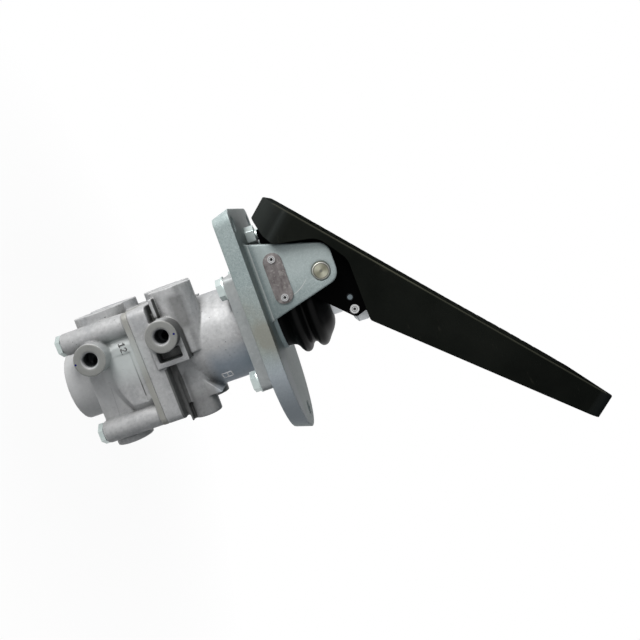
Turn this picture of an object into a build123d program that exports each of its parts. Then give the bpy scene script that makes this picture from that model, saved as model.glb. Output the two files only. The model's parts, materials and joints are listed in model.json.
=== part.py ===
from build123d import *
import math
import os

# Truck foot brake valve: a dual circuit treadle valve that hangs under the cab floor.
# All sizes in millimetres. The valve axis is Z, the floor plate's underside is Z = 0,
# the treadle rises towards +X and its pivot runs along Y.

# Floor plate and ears of the cast bracket
plate_thick = 12.0
plate_half_width = 58.0
plate_heel_x = -82.0
plate_toe_centre_x = 25.0
plate_heel_corner = 10.0
plate_draft_deg = 17.0
seat_recess = 0.8
seat_recess_gap = 0.3
ear_thick = 8.0
washer_room = 0.6
ear_root_heel_x = -56.4
ear_root_toe_x = -1.7
ear_top_heel_x = -40.3
ear_top_toe_x = -15.4
ear_top_z = 65.1
ear_corner = 9.0
ear_root_fillet = 5.0
floor_hole_radius = 5.0
floor_hole_heel_x = -71.4
floor_hole_side_margin = 12.0
floor_hole_toe_x = 71.0

# Pivot and pedal stroke
pivot_x = -23.7
pivot_z = 54.8
pivot_pin_radius = 6.0
pivot_running_gap = 0.05
pivot_bush_wall = 1.5
pivot_mark_chamfer = 0.9
pivot_bush_reach = 6.0
thrust_washer_rim = 2.5
pin_proud = 0.8
pin_end_chamfer = 0.6
pedal_travel_deg = 18.0

# Treadle, drawn in its own side plane: u runs up the treadle, v runs down from its top
treadle_heel_x = -82.2
treadle_heel_z = 34.75
treadle_angle_deg = 41.15
treadle_length = 272.6
treadle_side_room = 2.0
treadle_wall = 3.0
treadle_heel_depth = 15.9
treadle_tip_depth = 17.1
treadle_skirt_u = 101.7
treadle_skirt_depth = 35.3
treadle_arch_toe = (11.0, -15.8)
treadle_arch_heel = (-13.0, -18.0)
treadle_notch_toe = (-36.0, 0.2)
treadle_notch_heel = (-44.0, -1.2)
treadle_arch_round = 14.0
treadle_corner_round = 3.0
treadle_plan_corner = 12.0
treadle_edge_round = 1.2
tread_pad_start_u = 17.2
tread_pad_tip_margin = 22.7
tread_pad_side_margin = 7.0
tread_pad_corner = 8.0
tread_pad_height = 0.7
tread_groove_pitch = 10.2
tread_groove_width = 3.2
tread_groove_depth = 0.9
tread_last_rib_gap = 2.0
tread_last_rib_length = 7.5
tread_last_rib_inset = 6.0
treadle_rib_thick = 2.0
treadle_rib_depth = 12.0
treadle_rib_steps = (-92.0, -62.0, -32.0, 8.0, 33.0)
treadle_rib_side_gap = 1.0
treadle_screw_margin = 55.0
treadle_screw_pitch_u = 70.0
treadle_screw_pitch_y = 30.0
treadle_screw_radius = 2.5
treadle_screw_gap = 0.2
treadle_screw_cover = 0.6
treadle_screw_head_radius = 4.5
treadle_screw_head_height = 2.6

# Pedal arm, a pressed steel channel under the treadle
arm_half_width = 29.4
arm_steel = 4.0
arm_heel_u = 11.2
arm_tip_margin = 65.6
arm_tip_depth = 13.0
arm_side_gap = 0.05
arm_knee_step = (4.0, -9.0)
arm_land_tip = (7.0, -3.0)
arm_land_foot = (3.8, 4.4)
arm_land_round = 3.5
arm_cheek_foot = (4.0, 18.2)
arm_cheek_heel = (-9.0, 13.0)
arm_heel_step = (-2.0, 1.0)
tab_toe_reach = 9.0
tab_heel_reach = 2.8

# Roller that pushes the plunger, and the pieces beside it
roller_x = 0.2
roller_z = 67.1
roller_radius = 7.4
roller_half_length = 10.0
roller_axle_radius = 4.0
axle_spigot_radius = 2.5
roller_end_gap = 0.3
roller_spacer_wall = 2.0
axle_end_gap = 0.05
axle_proud = 0.5
blind_rivet_x = 8.8
blind_rivet_z = 67.5
rivet_head_radius = 3.1
rivet_shank_radius = 1.6
rivet_head_height = 1.2
rivet_reach = 6.0
rivet_core_radius = 1.0
rivet_core_depth = 2.0
spacer_side_gap = 0.1
spacer_heel_reach = 4.8
spacer_tip_reach = 12.2
spacer_top_step = 5.2
spacer_nose = (7.7, 6.3)
spacer_chin = (3.7, 5.8)
spacer_tip_drop = 1.3
spacer_round = 1.5
spacer_axle_room = 2.3
spacer_roller_room = 0.8

# Rest stop under the heel
stop_x = -60.0
stop_screw_radius = 4.0
stop_nut_flats = 13.0
stop_nut_height = 6.5
stop_screw_top_z = 22.0
stop_screw_chamfer = 0.8
stop_gap = 0.3

# Plunger, its guide and its bellows boot
plunger_head_radius = 12.0
plunger_head_base_z = 50.4
plunger_stem_radius = 9.0
plunger_tail_z = -12.0
plunger_tail_step = 3.0
plunger_chamfer = 1.0
plunger_gap = 0.1
guide_bush_radius = 15.0
guide_flange_radius = 18.0
guide_flange_thick = 3.0
sliding_gap = 0.05
boot_wall = 1.8
boot_side_room = 7.1
boot_neck_gap = 0.3
boot_top_z = 52.2
boot_folds = (
    (0.0, 0.0),
    (0.4, 5.5),
    (2.0, 10.0),
    (8.0, 14.7),
    (8.0, 16.4),
    (3.6, 22.0),
    (7.7, 26.7),
    (7.7, 27.9),
    (3.0, 32.9),
)
boot_crown_reach = 6.0
boot_crown_drop = 1.2
collar_gap = 0.4
collar_wall = 0.9
collar_height = 2.8

# Bolt pattern shared by the flange and the two housings
bolt_spacing = 66.4
bolt_radius = 4.0
bolt_hole_gap = 0.25
bolt_head_flats = 13.0
flange_bolt_head_height = 5.5
flange_bolt_collar_radius = 8.4
flange_bolt_collar_height = 1.2
flange_bolt_hole_cover = 2.0
flange_bolt_end_gap = 1.5
housing_bolt_head_height = 3.4
housing_bolt_cover = 2.5
housing_bolt_end_gap = 1.5

# Upper housing
flange_half_x = 40.5
block_half_y = 42.0
flange_thick = 9.0
flange_corner = 4.0
block_corner = 5.0
barrel_radius = 33.0
block_top_z = -64.5
joint_z = -77.0
upper_delivery_z = -48.0
upper_supply_z = -59.5
port_offset_y = 21.0
lower_port_offset_y = 18.0
port_face_x = -47.0
port_boss_radius = 17.3
delivery_boss_radius = 15.0
port_bore_radius = 10.2
port_bore_depth = 14.0
port_mouth_chamfer = 1.3
blank_boss_radius = 9.8
near_boss_face_x = 45.5
far_boss_face_x = 43.0
blank_boss_z_upper = -52.6
blank_boss_offset_y = 22.0
lower_blank_face_x = 46.0
lower_blank_offset_y = 20.0
core_half_x = 33.0
core_half_y = 30.0
core_top_z = -40.0
core_shoulder_x = 3.0
core_shoulder_z = -59.0
core_toe_z = -37.0
groove_ridge_top_z = -61.9
groove_ridge_thick = 1.4
groove_ridge_face_y = -32.0
heel_fin_top_z = -58.5
heel_fin_thick = 2.8
heel_fin_heel_x = -43.5
heel_fin_toe_x = -30.5
heel_fin_face_y = -37.0
small_port_face_y = -50.0
small_port_boss_radius = 11.0
small_port_bore_radius = 5.2
small_port_bore_depth = 12.0
small_port_mouth_chamfer = 1.0
upper_small_port_x = -18.4
upper_small_port_z = -58.0
pad_face_y = -44.0
pad_toe_x = 2.6
pad_top_z = -46.6
pad_base_z = -69.5
pocket_half_length = 8.2
pocket_half_width = 4.0
pocket_x = -5.0
pocket_z = -58.5
pocket_depth = 11.0

# Lower housing
joint_flange_thick = 4.0
shoulder_radius = 43.0
shoulder_end_z = -96.0
waist_radius = 33.0
waist_start_z = -107.0
waist_end_z = -119.5
waist_heel_x = -12.0
panel_half_y = 38.0
panel_recess = 0.9
panel_step_z = -84.5
panel_recess_end_z = -99.5
panel_heel_x = -15.0
panel_toe_x = 21.0
drum_radius = 25.0
drum_end_z = -139.3
bolt_tube_radius = 7.7
bolt_tube_round = 1.6
heel_tube_end_z = -126.5
toe_tube_end_z = -122.0
lower_port_z = -101.0
lower_blank_z = -108.5
lower_blank_radius = 13.0
lower_small_port_x = -19.3
lower_small_port_z = -108.0

# Valve gear on the axis
piston_radius = 26.0
piston_top_z = -26.0
piston_crown = 8.0
piston_floor_z = -44.0
seat_wall = 6.0
seat_lip = 1.5
seat_hole_radius = 10.0
seat_lip_radius = 12.0
inlet_chamber_radius = 22.5
hollow_stem_radius = 8.0
hollow_stem_bore = 5.0
exhaust_gap = 0.8
valve_disc_radius = 14.0
valve_disc_thick = 2.4
valve_stem_radius = 6.5
valve_stem_bore = 4.0
valve_lift_gap = 0.1
valve_spring_length = 8.0
guide_insert_thick = 4.0
guide_insert_lip = 1.5
guide_tube_wall = 2.0
guide_tube_length = 12.0
snap_ring_thick = 1.5
snap_ring_depth = 1.2
snap_ring_width = 3.5
snap_ring_gap = 8.0
relay_radius = 28.0
relay_top_z = -80.0
relay_crown = 8.0
relay_floor_z = -96.0
lower_chamber_radius = 20.0
exhaust_floor_z = -127.5
cover_thick = 4.0
cover_pin_radius = 2.0
cover_hole_circle = 9.0
cover_hole_radius = 2.6
flap_radius = 14.0
flap_thick = 1.6
seal_section = 2.6
seal_squeeze_gap = 0.05
seal_drop = 2.8
spring_end_gap = 0.15
spring_steps = 14
graduating_spring_radius = 15.5
graduating_spring_wire = 1.2
reaction_spring_radius = 19.0
reaction_spring_wire = 1.0
relay_spring_radius = 20.0
relay_spring_wire = 0.9
valve_spring_radius = 10.0
valve_spring_wire = 0.8
seal_groove_outer = 33.5
seal_groove_depth = 2.0
plunger_disc_radius = 21.0
plunger_disc_thick = 3.0

# Nameplate, left bare, with its two rivets
nameplate_length = 35.0
nameplate_width = 12.6
nameplate_thick = 0.8
nameplate_x = -28.3
nameplate_z = 26.4
nameplate_rivet_spacing = 26.6
nameplate_rivet_radius = 2.5
nameplate_rivet_hole = 1.1
nameplate_rivet_height = 0.9
nameplate_rivet_shank = 1.8
nameplate_rivet_depth = 5.0

os.makedirs("parts", exist_ok=True)

# Worked out from the sizes above
cheek_inner = arm_half_width - arm_steel
spacer_half_width = cheek_inner - spacer_side_gap
ear_inner_y = arm_half_width + washer_room
ear_outer_y = ear_inner_y + ear_thick
treadle_half_width = ear_outer_y + treadle_side_room + treadle_wall
tread_pad_half_width = treadle_half_width - tread_pad_side_margin
tread_pad_end_u = treadle_length - tread_pad_tip_margin
arm_tip_u = treadle_length - arm_tip_margin
treadle_screw_u = arm_tip_u - treadle_screw_margin
treadle_rib_places = [arm_tip_u + step for step in treadle_rib_steps]
floor_hole_heel_y = plate_half_width - floor_hole_side_margin
boot_base_radius = arm_half_width - boot_side_room
collar_radius = boot_base_radius + collar_wall + collar_gap
flange_top_z = seat_recess
slope = math.radians(treadle_angle_deg)
side_plane = Plane(
    origin=(treadle_heel_x, 0, treadle_heel_z),
    x_dir=(math.cos(slope), 0, math.sin(slope)),
    z_dir=(0, 1, 0),
)
half_pattern = bolt_spacing / 2
guide_hole_radius = guide_bush_radius
plunger_tail_radius = plunger_stem_radius - plunger_tail_step
plunger_top_z = roller_z - roller_radius - plunger_gap
toe_radius = plate_half_width
pin_half_length = ear_outer_y + pin_proud
bush_radius = pivot_pin_radius + pivot_running_gap + pivot_bush_wall
seat_face_z = piston_floor_z - seat_wall - seat_lip
valve_top_z = seat_face_z - valve_lift_gap
valve_base_z = valve_top_z - valve_disc_thick
insert_top_z = valve_base_z - valve_spring_length
lower_seat_face_z = relay_floor_z - seat_wall - seat_lip
lower_valve_top_z = lower_seat_face_z - valve_lift_gap
lower_valve_base_z = lower_valve_top_z - valve_disc_thick
lower_insert_top_z = lower_valve_base_z - valve_spring_length
bolt_hole_radius = bolt_radius + bolt_hole_gap
housing_bolt_top_z = block_top_z - housing_bolt_cover


def in_side_plane(x, z):
    """Turns a place (x, z) of the part into (u, v) of the treadle's side plane."""
    local = side_plane.to_local_coords(Vector(x, 0, z))
    return local.X, local.Y


def stepped(place, step):
    """The place (u, v) moved by a step (u, v)."""
    return place[0] + step[0], place[1] + step[1]


def cross_hole(x, z, radius, half_length):
    """Cuts a round hole along Y through the part being built."""
    with BuildSketch(Plane.XZ.offset(-half_length)) as outline:
        with Locations((x, z)):
            Circle(radius)
    extrude(outline.sketch, amount=2 * half_length, mode=Mode.SUBTRACT)


def axis_cut(radius, top_z, base_z):
    """Cuts a round hole along the valve axis between two heights."""
    with BuildSketch(Plane.XY.offset(base_z)) as outline:
        Circle(radius)
    extrude(outline.sketch, amount=top_z - base_z, mode=Mode.SUBTRACT)


def axis_boss(radius, top_z, base_z):
    """Adds a round boss along the valve axis between two heights."""
    with BuildSketch(Plane.XY.offset(base_z)) as outline:
        Circle(radius)
    extrude(outline.sketch, amount=top_z - base_z)


def side_cylinder(radius, from_x, to_x, y, z, mode=Mode.ADD):
    """A cylinder along X, for the big ports and the blank bosses."""
    with BuildSketch(Plane.YZ.offset(min(from_x, to_x))) as outline:
        with Locations((y, z)):
            Circle(radius)
    extrude(outline.sketch, amount=abs(to_x - from_x), mode=mode)


def near_cylinder(radius, from_y, to_y, x, z, mode=Mode.ADD):
    """A cylinder along Y, for the small ports on the near side."""
    with BuildSketch(Plane.XZ.offset(-max(from_y, to_y))) as outline:
        with Locations((x, z)):
            Circle(radius)
    extrude(outline.sketch, amount=abs(to_y - from_y), mode=mode)


def ring(outer, inner, top_z, base_z):
    """A plain ring on the valve axis."""
    with BuildPart() as piece:
        with BuildSketch(Plane.XY.offset(base_z)):
            Circle(outer)
            Circle(inner, mode=Mode.SUBTRACT)
        extrude(amount=top_z - base_z)
    return piece


def coil_spring(mean_radius, wire_radius, turns, top_z, base_z):
    """A wire spring between two seats, in short straight steps, with a gap at each end."""
    low = base_z + wire_radius + spring_end_gap
    rise = top_z - base_z - 2 * (wire_radius + spring_end_gap)
    count = round(turns * spring_steps)
    places = []
    for step in range(count + 1):
        turn = 2 * math.pi * step / spring_steps
        x = mean_radius * math.cos(turn)
        y = mean_radius * math.sin(turn)
        places.append((x, y, low + rise * step / count))
    with BuildPart() as piece:
        with BuildLine():
            wire = Polyline(*places)
        with BuildSketch(Plane(origin=wire @ 0, z_dir=wire % 0)):
            RegularPolygon(wire_radius, 6)
        sweep(transition=Transition.RIGHT)
    return piece


# Cast bracket: floor plate with two ears
with BuildPart() as mounting_bracket:
    with BuildSketch(Plane.XY.offset(plate_thick)) as plate_outline:
        with BuildLine():
            top_run = Line(
                (plate_heel_x, plate_half_width), (plate_toe_centre_x, plate_half_width)
            )
            toe_arc = ThreePointArc(
                top_run @ 1,
                (plate_toe_centre_x + toe_radius, 0),
                (plate_toe_centre_x, -plate_half_width),
            )
            low_run = Line(toe_arc @ 1, (plate_heel_x, -plate_half_width))
            Line(low_run @ 1, top_run @ 0)
        make_face()
        fillet(plate_outline.vertices().group_by(Axis.X)[0], plate_heel_corner)
    extrude(amount=-plate_thick, taper=plate_draft_deg)
    for side in (-1, 1):
        inner = side * ear_inner_y
        with BuildSketch(Plane.XZ.offset(-max(side * ear_outer_y, inner))) as ear:
            with BuildLine():
                Polyline(
                    (ear_root_heel_x, plate_thick),
                    (ear_top_heel_x, ear_top_z),
                    (ear_top_toe_x, ear_top_z),
                    (ear_root_toe_x, plate_thick),
                    close=True,
                )
            make_face()
            fillet(ear.vertices().group_by(Axis.Y)[-1], ear_corner)
        extrude(amount=ear_outer_y - ear_inner_y)
    ear_feet = mounting_bracket.edges().filter_by(Axis.X).filter_by_position(
        Axis.Z, plate_thick - 0.1, plate_thick + 0.1
    )
    outer_feet = ear_feet.filter_by(lambda e: abs(abs(e.center().Y) - ear_outer_y) < 0.1)
    fillet(outer_feet, ear_root_fillet)
    # shallow seat in the underside that locates the housing flange
    with BuildSketch(Plane.XY):
        RectangleRounded(
            2 * (flange_half_x + seat_recess_gap), 2 * (block_half_y + seat_recess_gap), flange_corner
        )
    extrude(amount=seat_recess, mode=Mode.SUBTRACT)
    # bores on the valve axis, for the pivot pin, the bolts and the stop screw
    axis_cut(guide_hole_radius, plate_thick, 0)
    cross_hole(pivot_x, pivot_z, pivot_pin_radius, ear_outer_y + 1)
    pin_mouths = (
        mounting_bracket.edges()
        .filter_by(GeomType.CIRCLE)
        .filter_by(lambda e: abs(abs(e.center().Y) - ear_outer_y) < 0.1)
        .filter_by(lambda e: abs(e.radius - pivot_pin_radius) < 0.01)
    )
    chamfer(pin_mouths, pivot_mark_chamfer)
    with BuildSketch(Plane.XY):
        with GridLocations(bolt_spacing, bolt_spacing, 2, 2):
            Circle(bolt_radius)
    extrude(amount=plate_thick - flange_bolt_hole_cover, mode=Mode.SUBTRACT)
    with BuildSketch(Plane.XY):
        with Locations((stop_x, 0)):
            Circle(stop_screw_radius)
        with Locations(
            (floor_hole_heel_x, floor_hole_heel_y),
            (floor_hole_heel_x, -floor_hole_heel_y),
            (floor_hole_toe_x, 0),
        ):
            Circle(floor_hole_radius)
    extrude(amount=plate_thick, mode=Mode.SUBTRACT)
    # blind holes for the nameplate rivets in the near ear
    with BuildSketch(Plane.XZ.offset(ear_outer_y - nameplate_rivet_depth)):
        with Locations((nameplate_x, nameplate_z)):
            with GridLocations(nameplate_rivet_spacing, 1, 2, 1):
                Circle(nameplate_rivet_shank)
    extrude(amount=nameplate_rivet_depth + 1, mode=Mode.SUBTRACT)

# Pivot pin through both ears
with BuildPart() as pivot_pin:
    with BuildSketch(Plane.XZ.offset(-pin_half_length)):
        with Locations((pivot_x, pivot_z)):
            Circle(pivot_pin_radius)
    extrude(amount=2 * pin_half_length)
    chamfer(pivot_pin.edges().filter_by(GeomType.CIRCLE), pin_end_chamfer)

# Bushes in the arm's cheeks, turning on the pin
bush_length = arm_steel + pivot_bush_reach
with BuildPart() as pivot_bushes:
    for side in (-1, 1):
        start = min(side * arm_half_width, side * (arm_half_width - bush_length))
        with BuildSketch(Plane.XZ.offset(-start - bush_length)):
            with Locations((pivot_x, pivot_z)):
                Circle(bush_radius)
                Circle(pivot_pin_radius + pivot_running_gap, mode=Mode.SUBTRACT)
        extrude(amount=bush_length)

# Thrust washers between the arm and the ears
with BuildPart() as pivot_washers:
    washer_thick = ear_inner_y - arm_half_width - 2 * arm_side_gap
    for side in (-1, 1):
        middle = side * (arm_half_width + ear_inner_y) / 2
        with BuildSketch(Plane.XZ.offset(-middle - washer_thick / 2)):
            with Locations((pivot_x, pivot_z)):
                Circle(bush_radius + thrust_washer_rim)
                Circle(pivot_pin_radius + pivot_running_gap, mode=Mode.SUBTRACT)
        extrude(amount=washer_thick)


def deck_plane(depth):
    """A plane parallel to the treadle's top, depth below it: x is u, y is Y, z points up."""
    return Plane(
        origin=side_plane.origin + side_plane.y_dir * depth,
        x_dir=side_plane.x_dir,
        z_dir=side_plane.y_dir * -1,
    )


# Pedal arm: channel with a web under the treadle and two cheeks
skirt_corner = (treadle_skirt_u, treadle_skirt_depth)
rivet_place = in_side_plane(blind_rivet_x, blind_rivet_z)
pivot_place = in_side_plane(pivot_x, pivot_z)
tab_base_z = stop_screw_top_z + stop_gap
web_length = arm_tip_u - arm_heel_u
with BuildPart() as pedal_arm:
    with BuildSketch(side_plane) as arm_side:
        with BuildLine():
            Polyline(
                (arm_heel_u, treadle_wall),
                (arm_tip_u, treadle_wall),
                (arm_tip_u, arm_tip_depth),
                stepped(skirt_corner, arm_knee_step),
                stepped(rivet_place, arm_land_tip),
                stepped(rivet_place, arm_land_foot),
                stepped(pivot_place, arm_cheek_foot),
                stepped(pivot_place, arm_cheek_heel),
                in_side_plane(stop_x + tab_toe_reach, tab_base_z),
                in_side_plane(stop_x - tab_heel_reach, tab_base_z),
                stepped((arm_heel_u, treadle_heel_depth), arm_heel_step),
                close=True,
            )
        make_face()
        land_foot = stepped(rivet_place, arm_land_foot)
        fillet(arm_side.vertices().sort_by_distance(land_foot)[0], arm_land_round)
    extrude(amount=arm_half_width, both=True)
    with BuildSketch(deck_plane(treadle_wall + arm_steel)):
        with Locations((arm_tip_u / 2, 0)):
            Rectangle(2 * arm_tip_u, 2 * cheek_inner)
    extrude(amount=-2 * pivot_place[1], mode=Mode.SUBTRACT)
    bends = pedal_arm.edges().filter_by(
        lambda e: abs(abs(e.center().Y) - arm_half_width) < 0.1 and e.length > web_length * 0.8
    )
    bends = bends.filter_by(
        lambda e: in_side_plane(e.center().X, e.center().Z)[1] < treadle_wall + 0.5
    )
    fillet(bends, arm_steel * 0.75)
    # cross tab that rests over the stop screw
    with BuildSketch(Plane.XY.offset(tab_base_z)):
        with Locations((stop_x + (tab_toe_reach - tab_heel_reach) / 2, 0)):
            Rectangle(tab_toe_reach + tab_heel_reach, 2 * cheek_inner)
    extrude(amount=arm_steel)
    cross_hole(pivot_x, pivot_z, bush_radius, arm_half_width + 1)
    cross_hole(roller_x, roller_z, axle_spigot_radius, arm_half_width + 1)
    cross_hole(blind_rivet_x, blind_rivet_z, rivet_shank_radius, arm_half_width + 1)
    with BuildSketch(deck_plane(treadle_wall)):
        with Locations((treadle_screw_u, 0)):
            with GridLocations(treadle_screw_pitch_u, treadle_screw_pitch_y, 2, 2):
                Circle(treadle_screw_radius + treadle_screw_gap)
    extrude(amount=-arm_steel, mode=Mode.SUBTRACT)

# Treadle: moulded channel with a ribbed top, open below
with BuildPart() as treadle:
    with BuildSketch(side_plane) as treadle_side:
        with BuildLine():
            Polyline(
                (0, 0),
                (treadle_length, 0),
                (treadle_length, treadle_tip_depth),
                skirt_corner,
                stepped(pivot_place, treadle_arch_toe),
                stepped(pivot_place, treadle_arch_heel),
                stepped(pivot_place, treadle_notch_toe),
                stepped(pivot_place, treadle_notch_heel),
                (0, treadle_heel_depth),
                close=True,
            )
        make_face()
        for at, size in (
            (stepped(pivot_place, treadle_arch_toe), treadle_arch_round),
            (stepped(pivot_place, treadle_arch_heel), treadle_arch_round),
            (stepped(pivot_place, treadle_notch_toe), treadle_corner_round),
            (skirt_corner, treadle_corner_round),
        ):
            fillet(treadle_side.vertices().sort_by_distance(Vector(at[0], at[1], 0))[0], size)
    extrude(amount=treadle_half_width, both=True)
    with BuildSketch(deck_plane(0)):
        with Locations((treadle_length / 2, 0)):
            RectangleRounded(treadle_length, 2 * treadle_half_width, treadle_plan_corner)
    extrude(amount=-2 * treadle_skirt_depth, mode=Mode.INTERSECT)
    with BuildSketch(deck_plane(treadle_wall)):
        with Locations((treadle_length / 2, 0)):
            RectangleRounded(
                treadle_length - 2 * treadle_wall,
                2 * (treadle_half_width - treadle_wall),
                treadle_plan_corner - treadle_wall,
            )
    extrude(amount=-2 * treadle_skirt_depth, mode=Mode.SUBTRACT)
    top_edges = treadle.edges().filter_by(
        lambda e: abs(in_side_plane(e.center().X, e.center().Z)[1]) < 0.05
    )
    fillet(top_edges, treadle_edge_round)
    # cross ribs under the top, beside the arm and beyond its tip
    for rib_u in treadle_rib_places:
        beside_arm = rib_u < arm_tip_u + treadle_rib_thick
        start = arm_half_width + treadle_rib_side_gap if beside_arm else 0
        for side in (-1, 1):
            with BuildSketch(side_plane.offset(side * start)):
                with Locations((rib_u, (treadle_wall + treadle_rib_depth) / 2 + 0.5)):
                    Rectangle(treadle_rib_thick, treadle_rib_depth - treadle_wall + 1.0)
            extrude(amount=side * (treadle_half_width - treadle_wall + 0.5 - start))
    # raised pad with cross grooves, and a last rib near the tip
    pad_length = tread_pad_end_u - tread_pad_start_u
    with BuildSketch(deck_plane(0)):
        with Locations((tread_pad_start_u + pad_length / 2, 0)):
            RectangleRounded(pad_length, 2 * tread_pad_half_width, tread_pad_corner)
        with Locations((tread_pad_end_u + tread_last_rib_gap + tread_last_rib_length / 2, 0)):
            Rectangle(tread_last_rib_length, 2 * (tread_pad_half_width - tread_last_rib_inset))
    extrude(amount=tread_pad_height)
    groove_count = int((pad_length - 2 * tread_groove_pitch) / tread_groove_pitch)
    with BuildSketch(deck_plane(-tread_pad_height)):
        with Locations((tread_pad_start_u + pad_length / 2, 0)):
            with GridLocations(tread_groove_pitch, 1, groove_count, 1):
                Rectangle(tread_groove_width, 2 * tread_pad_half_width)
    extrude(amount=-tread_groove_depth, mode=Mode.SUBTRACT)
    # blind holes for the screws that hold it to the arm
    with BuildSketch(deck_plane(treadle_wall)):
        with Locations((treadle_screw_u, 0)):
            with GridLocations(treadle_screw_pitch_u, treadle_screw_pitch_y, 2, 2):
                Circle(treadle_screw_radius)
    extrude(amount=treadle_wall - treadle_screw_cover, mode=Mode.SUBTRACT)

# Pan head screws from the arm's web up into the treadle
with BuildPart() as treadle_screws:
    with BuildSketch(deck_plane(treadle_wall + arm_steel)):
        with Locations((treadle_screw_u, 0)):
            with GridLocations(treadle_screw_pitch_u, treadle_screw_pitch_y, 2, 2):
                Circle(treadle_screw_radius)
    extrude(amount=treadle_wall + arm_steel - treadle_screw_cover - treadle_screw_gap)
    with BuildSketch(deck_plane(treadle_wall + arm_steel)):
        with Locations((treadle_screw_u, 0)):
            with GridLocations(treadle_screw_pitch_u, treadle_screw_pitch_y, 2, 2):
                Circle(treadle_screw_head_radius)
    extrude(amount=-treadle_screw_head_height)

# Roller on its axle between the cheeks
with BuildPart() as roller:
    with BuildSketch(Plane.XZ.offset(-roller_half_length)):
        with Locations((roller_x, roller_z)):
            Circle(roller_radius)
            Circle(roller_axle_radius + pivot_running_gap, mode=Mode.SUBTRACT)
    extrude(amount=2 * roller_half_length)

with BuildPart() as roller_axle:
    axle_half = cheek_inner - axle_end_gap
    spigot_half = arm_half_width + axle_proud
    near_cylinder(roller_axle_radius, -axle_half, axle_half, roller_x, roller_z)
    near_cylinder(axle_spigot_radius, -spigot_half, spigot_half, roller_x, roller_z)

with BuildPart() as roller_spacers:
    spacer_length = cheek_inner - axle_end_gap - roller_half_length - roller_end_gap
    for side in (-1, 1):
        middle = side * (roller_half_length + roller_end_gap + spacer_length / 2)
        with BuildSketch(Plane.XZ.offset(-middle - spacer_length / 2)):
            with Locations((roller_x, roller_z)):
                Circle(roller_axle_radius + roller_spacer_wall)
                Circle(roller_axle_radius + pivot_running_gap, mode=Mode.SUBTRACT)
        extrude(amount=spacer_length)

# Grey spacer block between the cheeks, held by a blind rivet each side
with BuildPart() as spacer_block:
    with BuildSketch(side_plane) as block_side:
        with BuildLine():
            Polyline(
                stepped(rivet_place, (-spacer_heel_reach, -spacer_top_step)),
                stepped(rivet_place, (spacer_tip_reach, -spacer_top_step)),
                stepped(rivet_place, (spacer_tip_reach, spacer_tip_drop)),
                stepped(rivet_place, spacer_nose),
                stepped(rivet_place, spacer_chin),
                stepped(rivet_place, (-spacer_heel_reach, 0)),
                close=True,
            )
        make_face()
        fillet(block_side.vertices().group_by(Axis.Y)[-1], spacer_round)
    extrude(amount=spacer_half_width, both=True)
    cross_hole(roller_x, roller_z, roller_axle_radius + spacer_axle_room, spacer_half_width + 1)
    cross_hole(roller_x, roller_z, roller_radius + spacer_roller_room, roller_half_length + 1)
    for side in (-1, 1):
        outer = side * spacer_half_width
        near_cylinder(
            rivet_shank_radius, outer - side * (rivet_reach + 0.2), outer, blind_rivet_x, blind_rivet_z,
            mode=Mode.SUBTRACT,
        )

with BuildPart() as blind_rivets:
    for side in (-1, 1):
        face = side * arm_half_width
        inner_end = face - side * (arm_steel + rivet_reach)
        crown = face + side * rivet_head_height
        near_cylinder(rivet_shank_radius, inner_end, face, blind_rivet_x, blind_rivet_z)
        near_cylinder(rivet_head_radius, face, crown, blind_rivet_x, blind_rivet_z)
        near_cylinder(
            rivet_core_radius, face - side * rivet_core_depth, crown, blind_rivet_x, blind_rivet_z,
            mode=Mode.SUBTRACT,
        )

# Rest stop: set screw and its lock nut on the floor plate
with BuildPart() as stop_screw:
    with BuildSketch(Plane.XY):
        with Locations((stop_x, 0)):
            Circle(stop_screw_radius)
    extrude(amount=stop_screw_top_z)
    chamfer(stop_screw.edges().group_by(Axis.Z)[-1], stop_screw_chamfer)

with BuildPart() as stop_nut:
    with BuildSketch(Plane.XY.offset(plate_thick)):
        with Locations((stop_x, 0)):
            RegularPolygon(stop_nut_flats / 2, 6, major_radius=False)
            Circle(stop_screw_radius, mode=Mode.SUBTRACT)
    extrude(amount=stop_nut_height)

# Plunger with its head, and the spring plate on its tail
with BuildPart() as plunger:
    axis_boss(plunger_head_radius, plunger_top_z, plunger_head_base_z)
    chamfer(plunger.edges().group_by(Axis.Z)[-1], plunger_chamfer)
    axis_boss(plunger_stem_radius, plunger_head_base_z, plunger_tail_z + plunger_disc_thick)
    axis_boss(plunger_tail_radius, plunger_tail_z + plunger_disc_thick, plunger_tail_z)

plunger_disc = ring(
    plunger_disc_radius,
    plunger_tail_radius,
    plunger_tail_z + plunger_disc_thick,
    plunger_tail_z,
)

# Guide bush pressed into the floor plate
with BuildPart() as guide_bush:
    guide_base_z = flange_top_z - guide_flange_thick
    axis_boss(guide_bush_radius, plate_thick, flange_top_z)
    axis_boss(guide_flange_radius, flange_top_z, guide_base_z)
    axis_cut(plunger_stem_radius + sliding_gap, plate_thick, guide_base_z)

# Bellows boot and the metal collar round its foot
neck_radius = plunger_head_radius + boot_neck_gap
crown_radius = plunger_head_radius + boot_crown_reach
boot_outer = [(boot_base_radius + step, plate_thick + rise) for step, rise in boot_folds]
boot_outer += [(crown_radius, boot_top_z - boot_crown_drop), (neck_radius, boot_top_z)]
boot_inner = [(boot_base_radius + step - boot_wall, plate_thick + rise) for step, rise in boot_folds]
boot_inner += [
    (crown_radius - boot_wall, boot_top_z - boot_crown_drop - boot_wall),
    (neck_radius, boot_top_z - boot_wall),
]
with BuildPart() as boot:
    with BuildSketch(Plane.XZ):
        with BuildLine():
            Polyline(*boot_outer, *reversed(boot_inner), close=True)
        make_face()
    revolve(axis=Axis.Z)

boot_collar = ring(collar_radius, collar_radius - collar_wall, plate_thick + collar_height, plate_thick)

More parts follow.
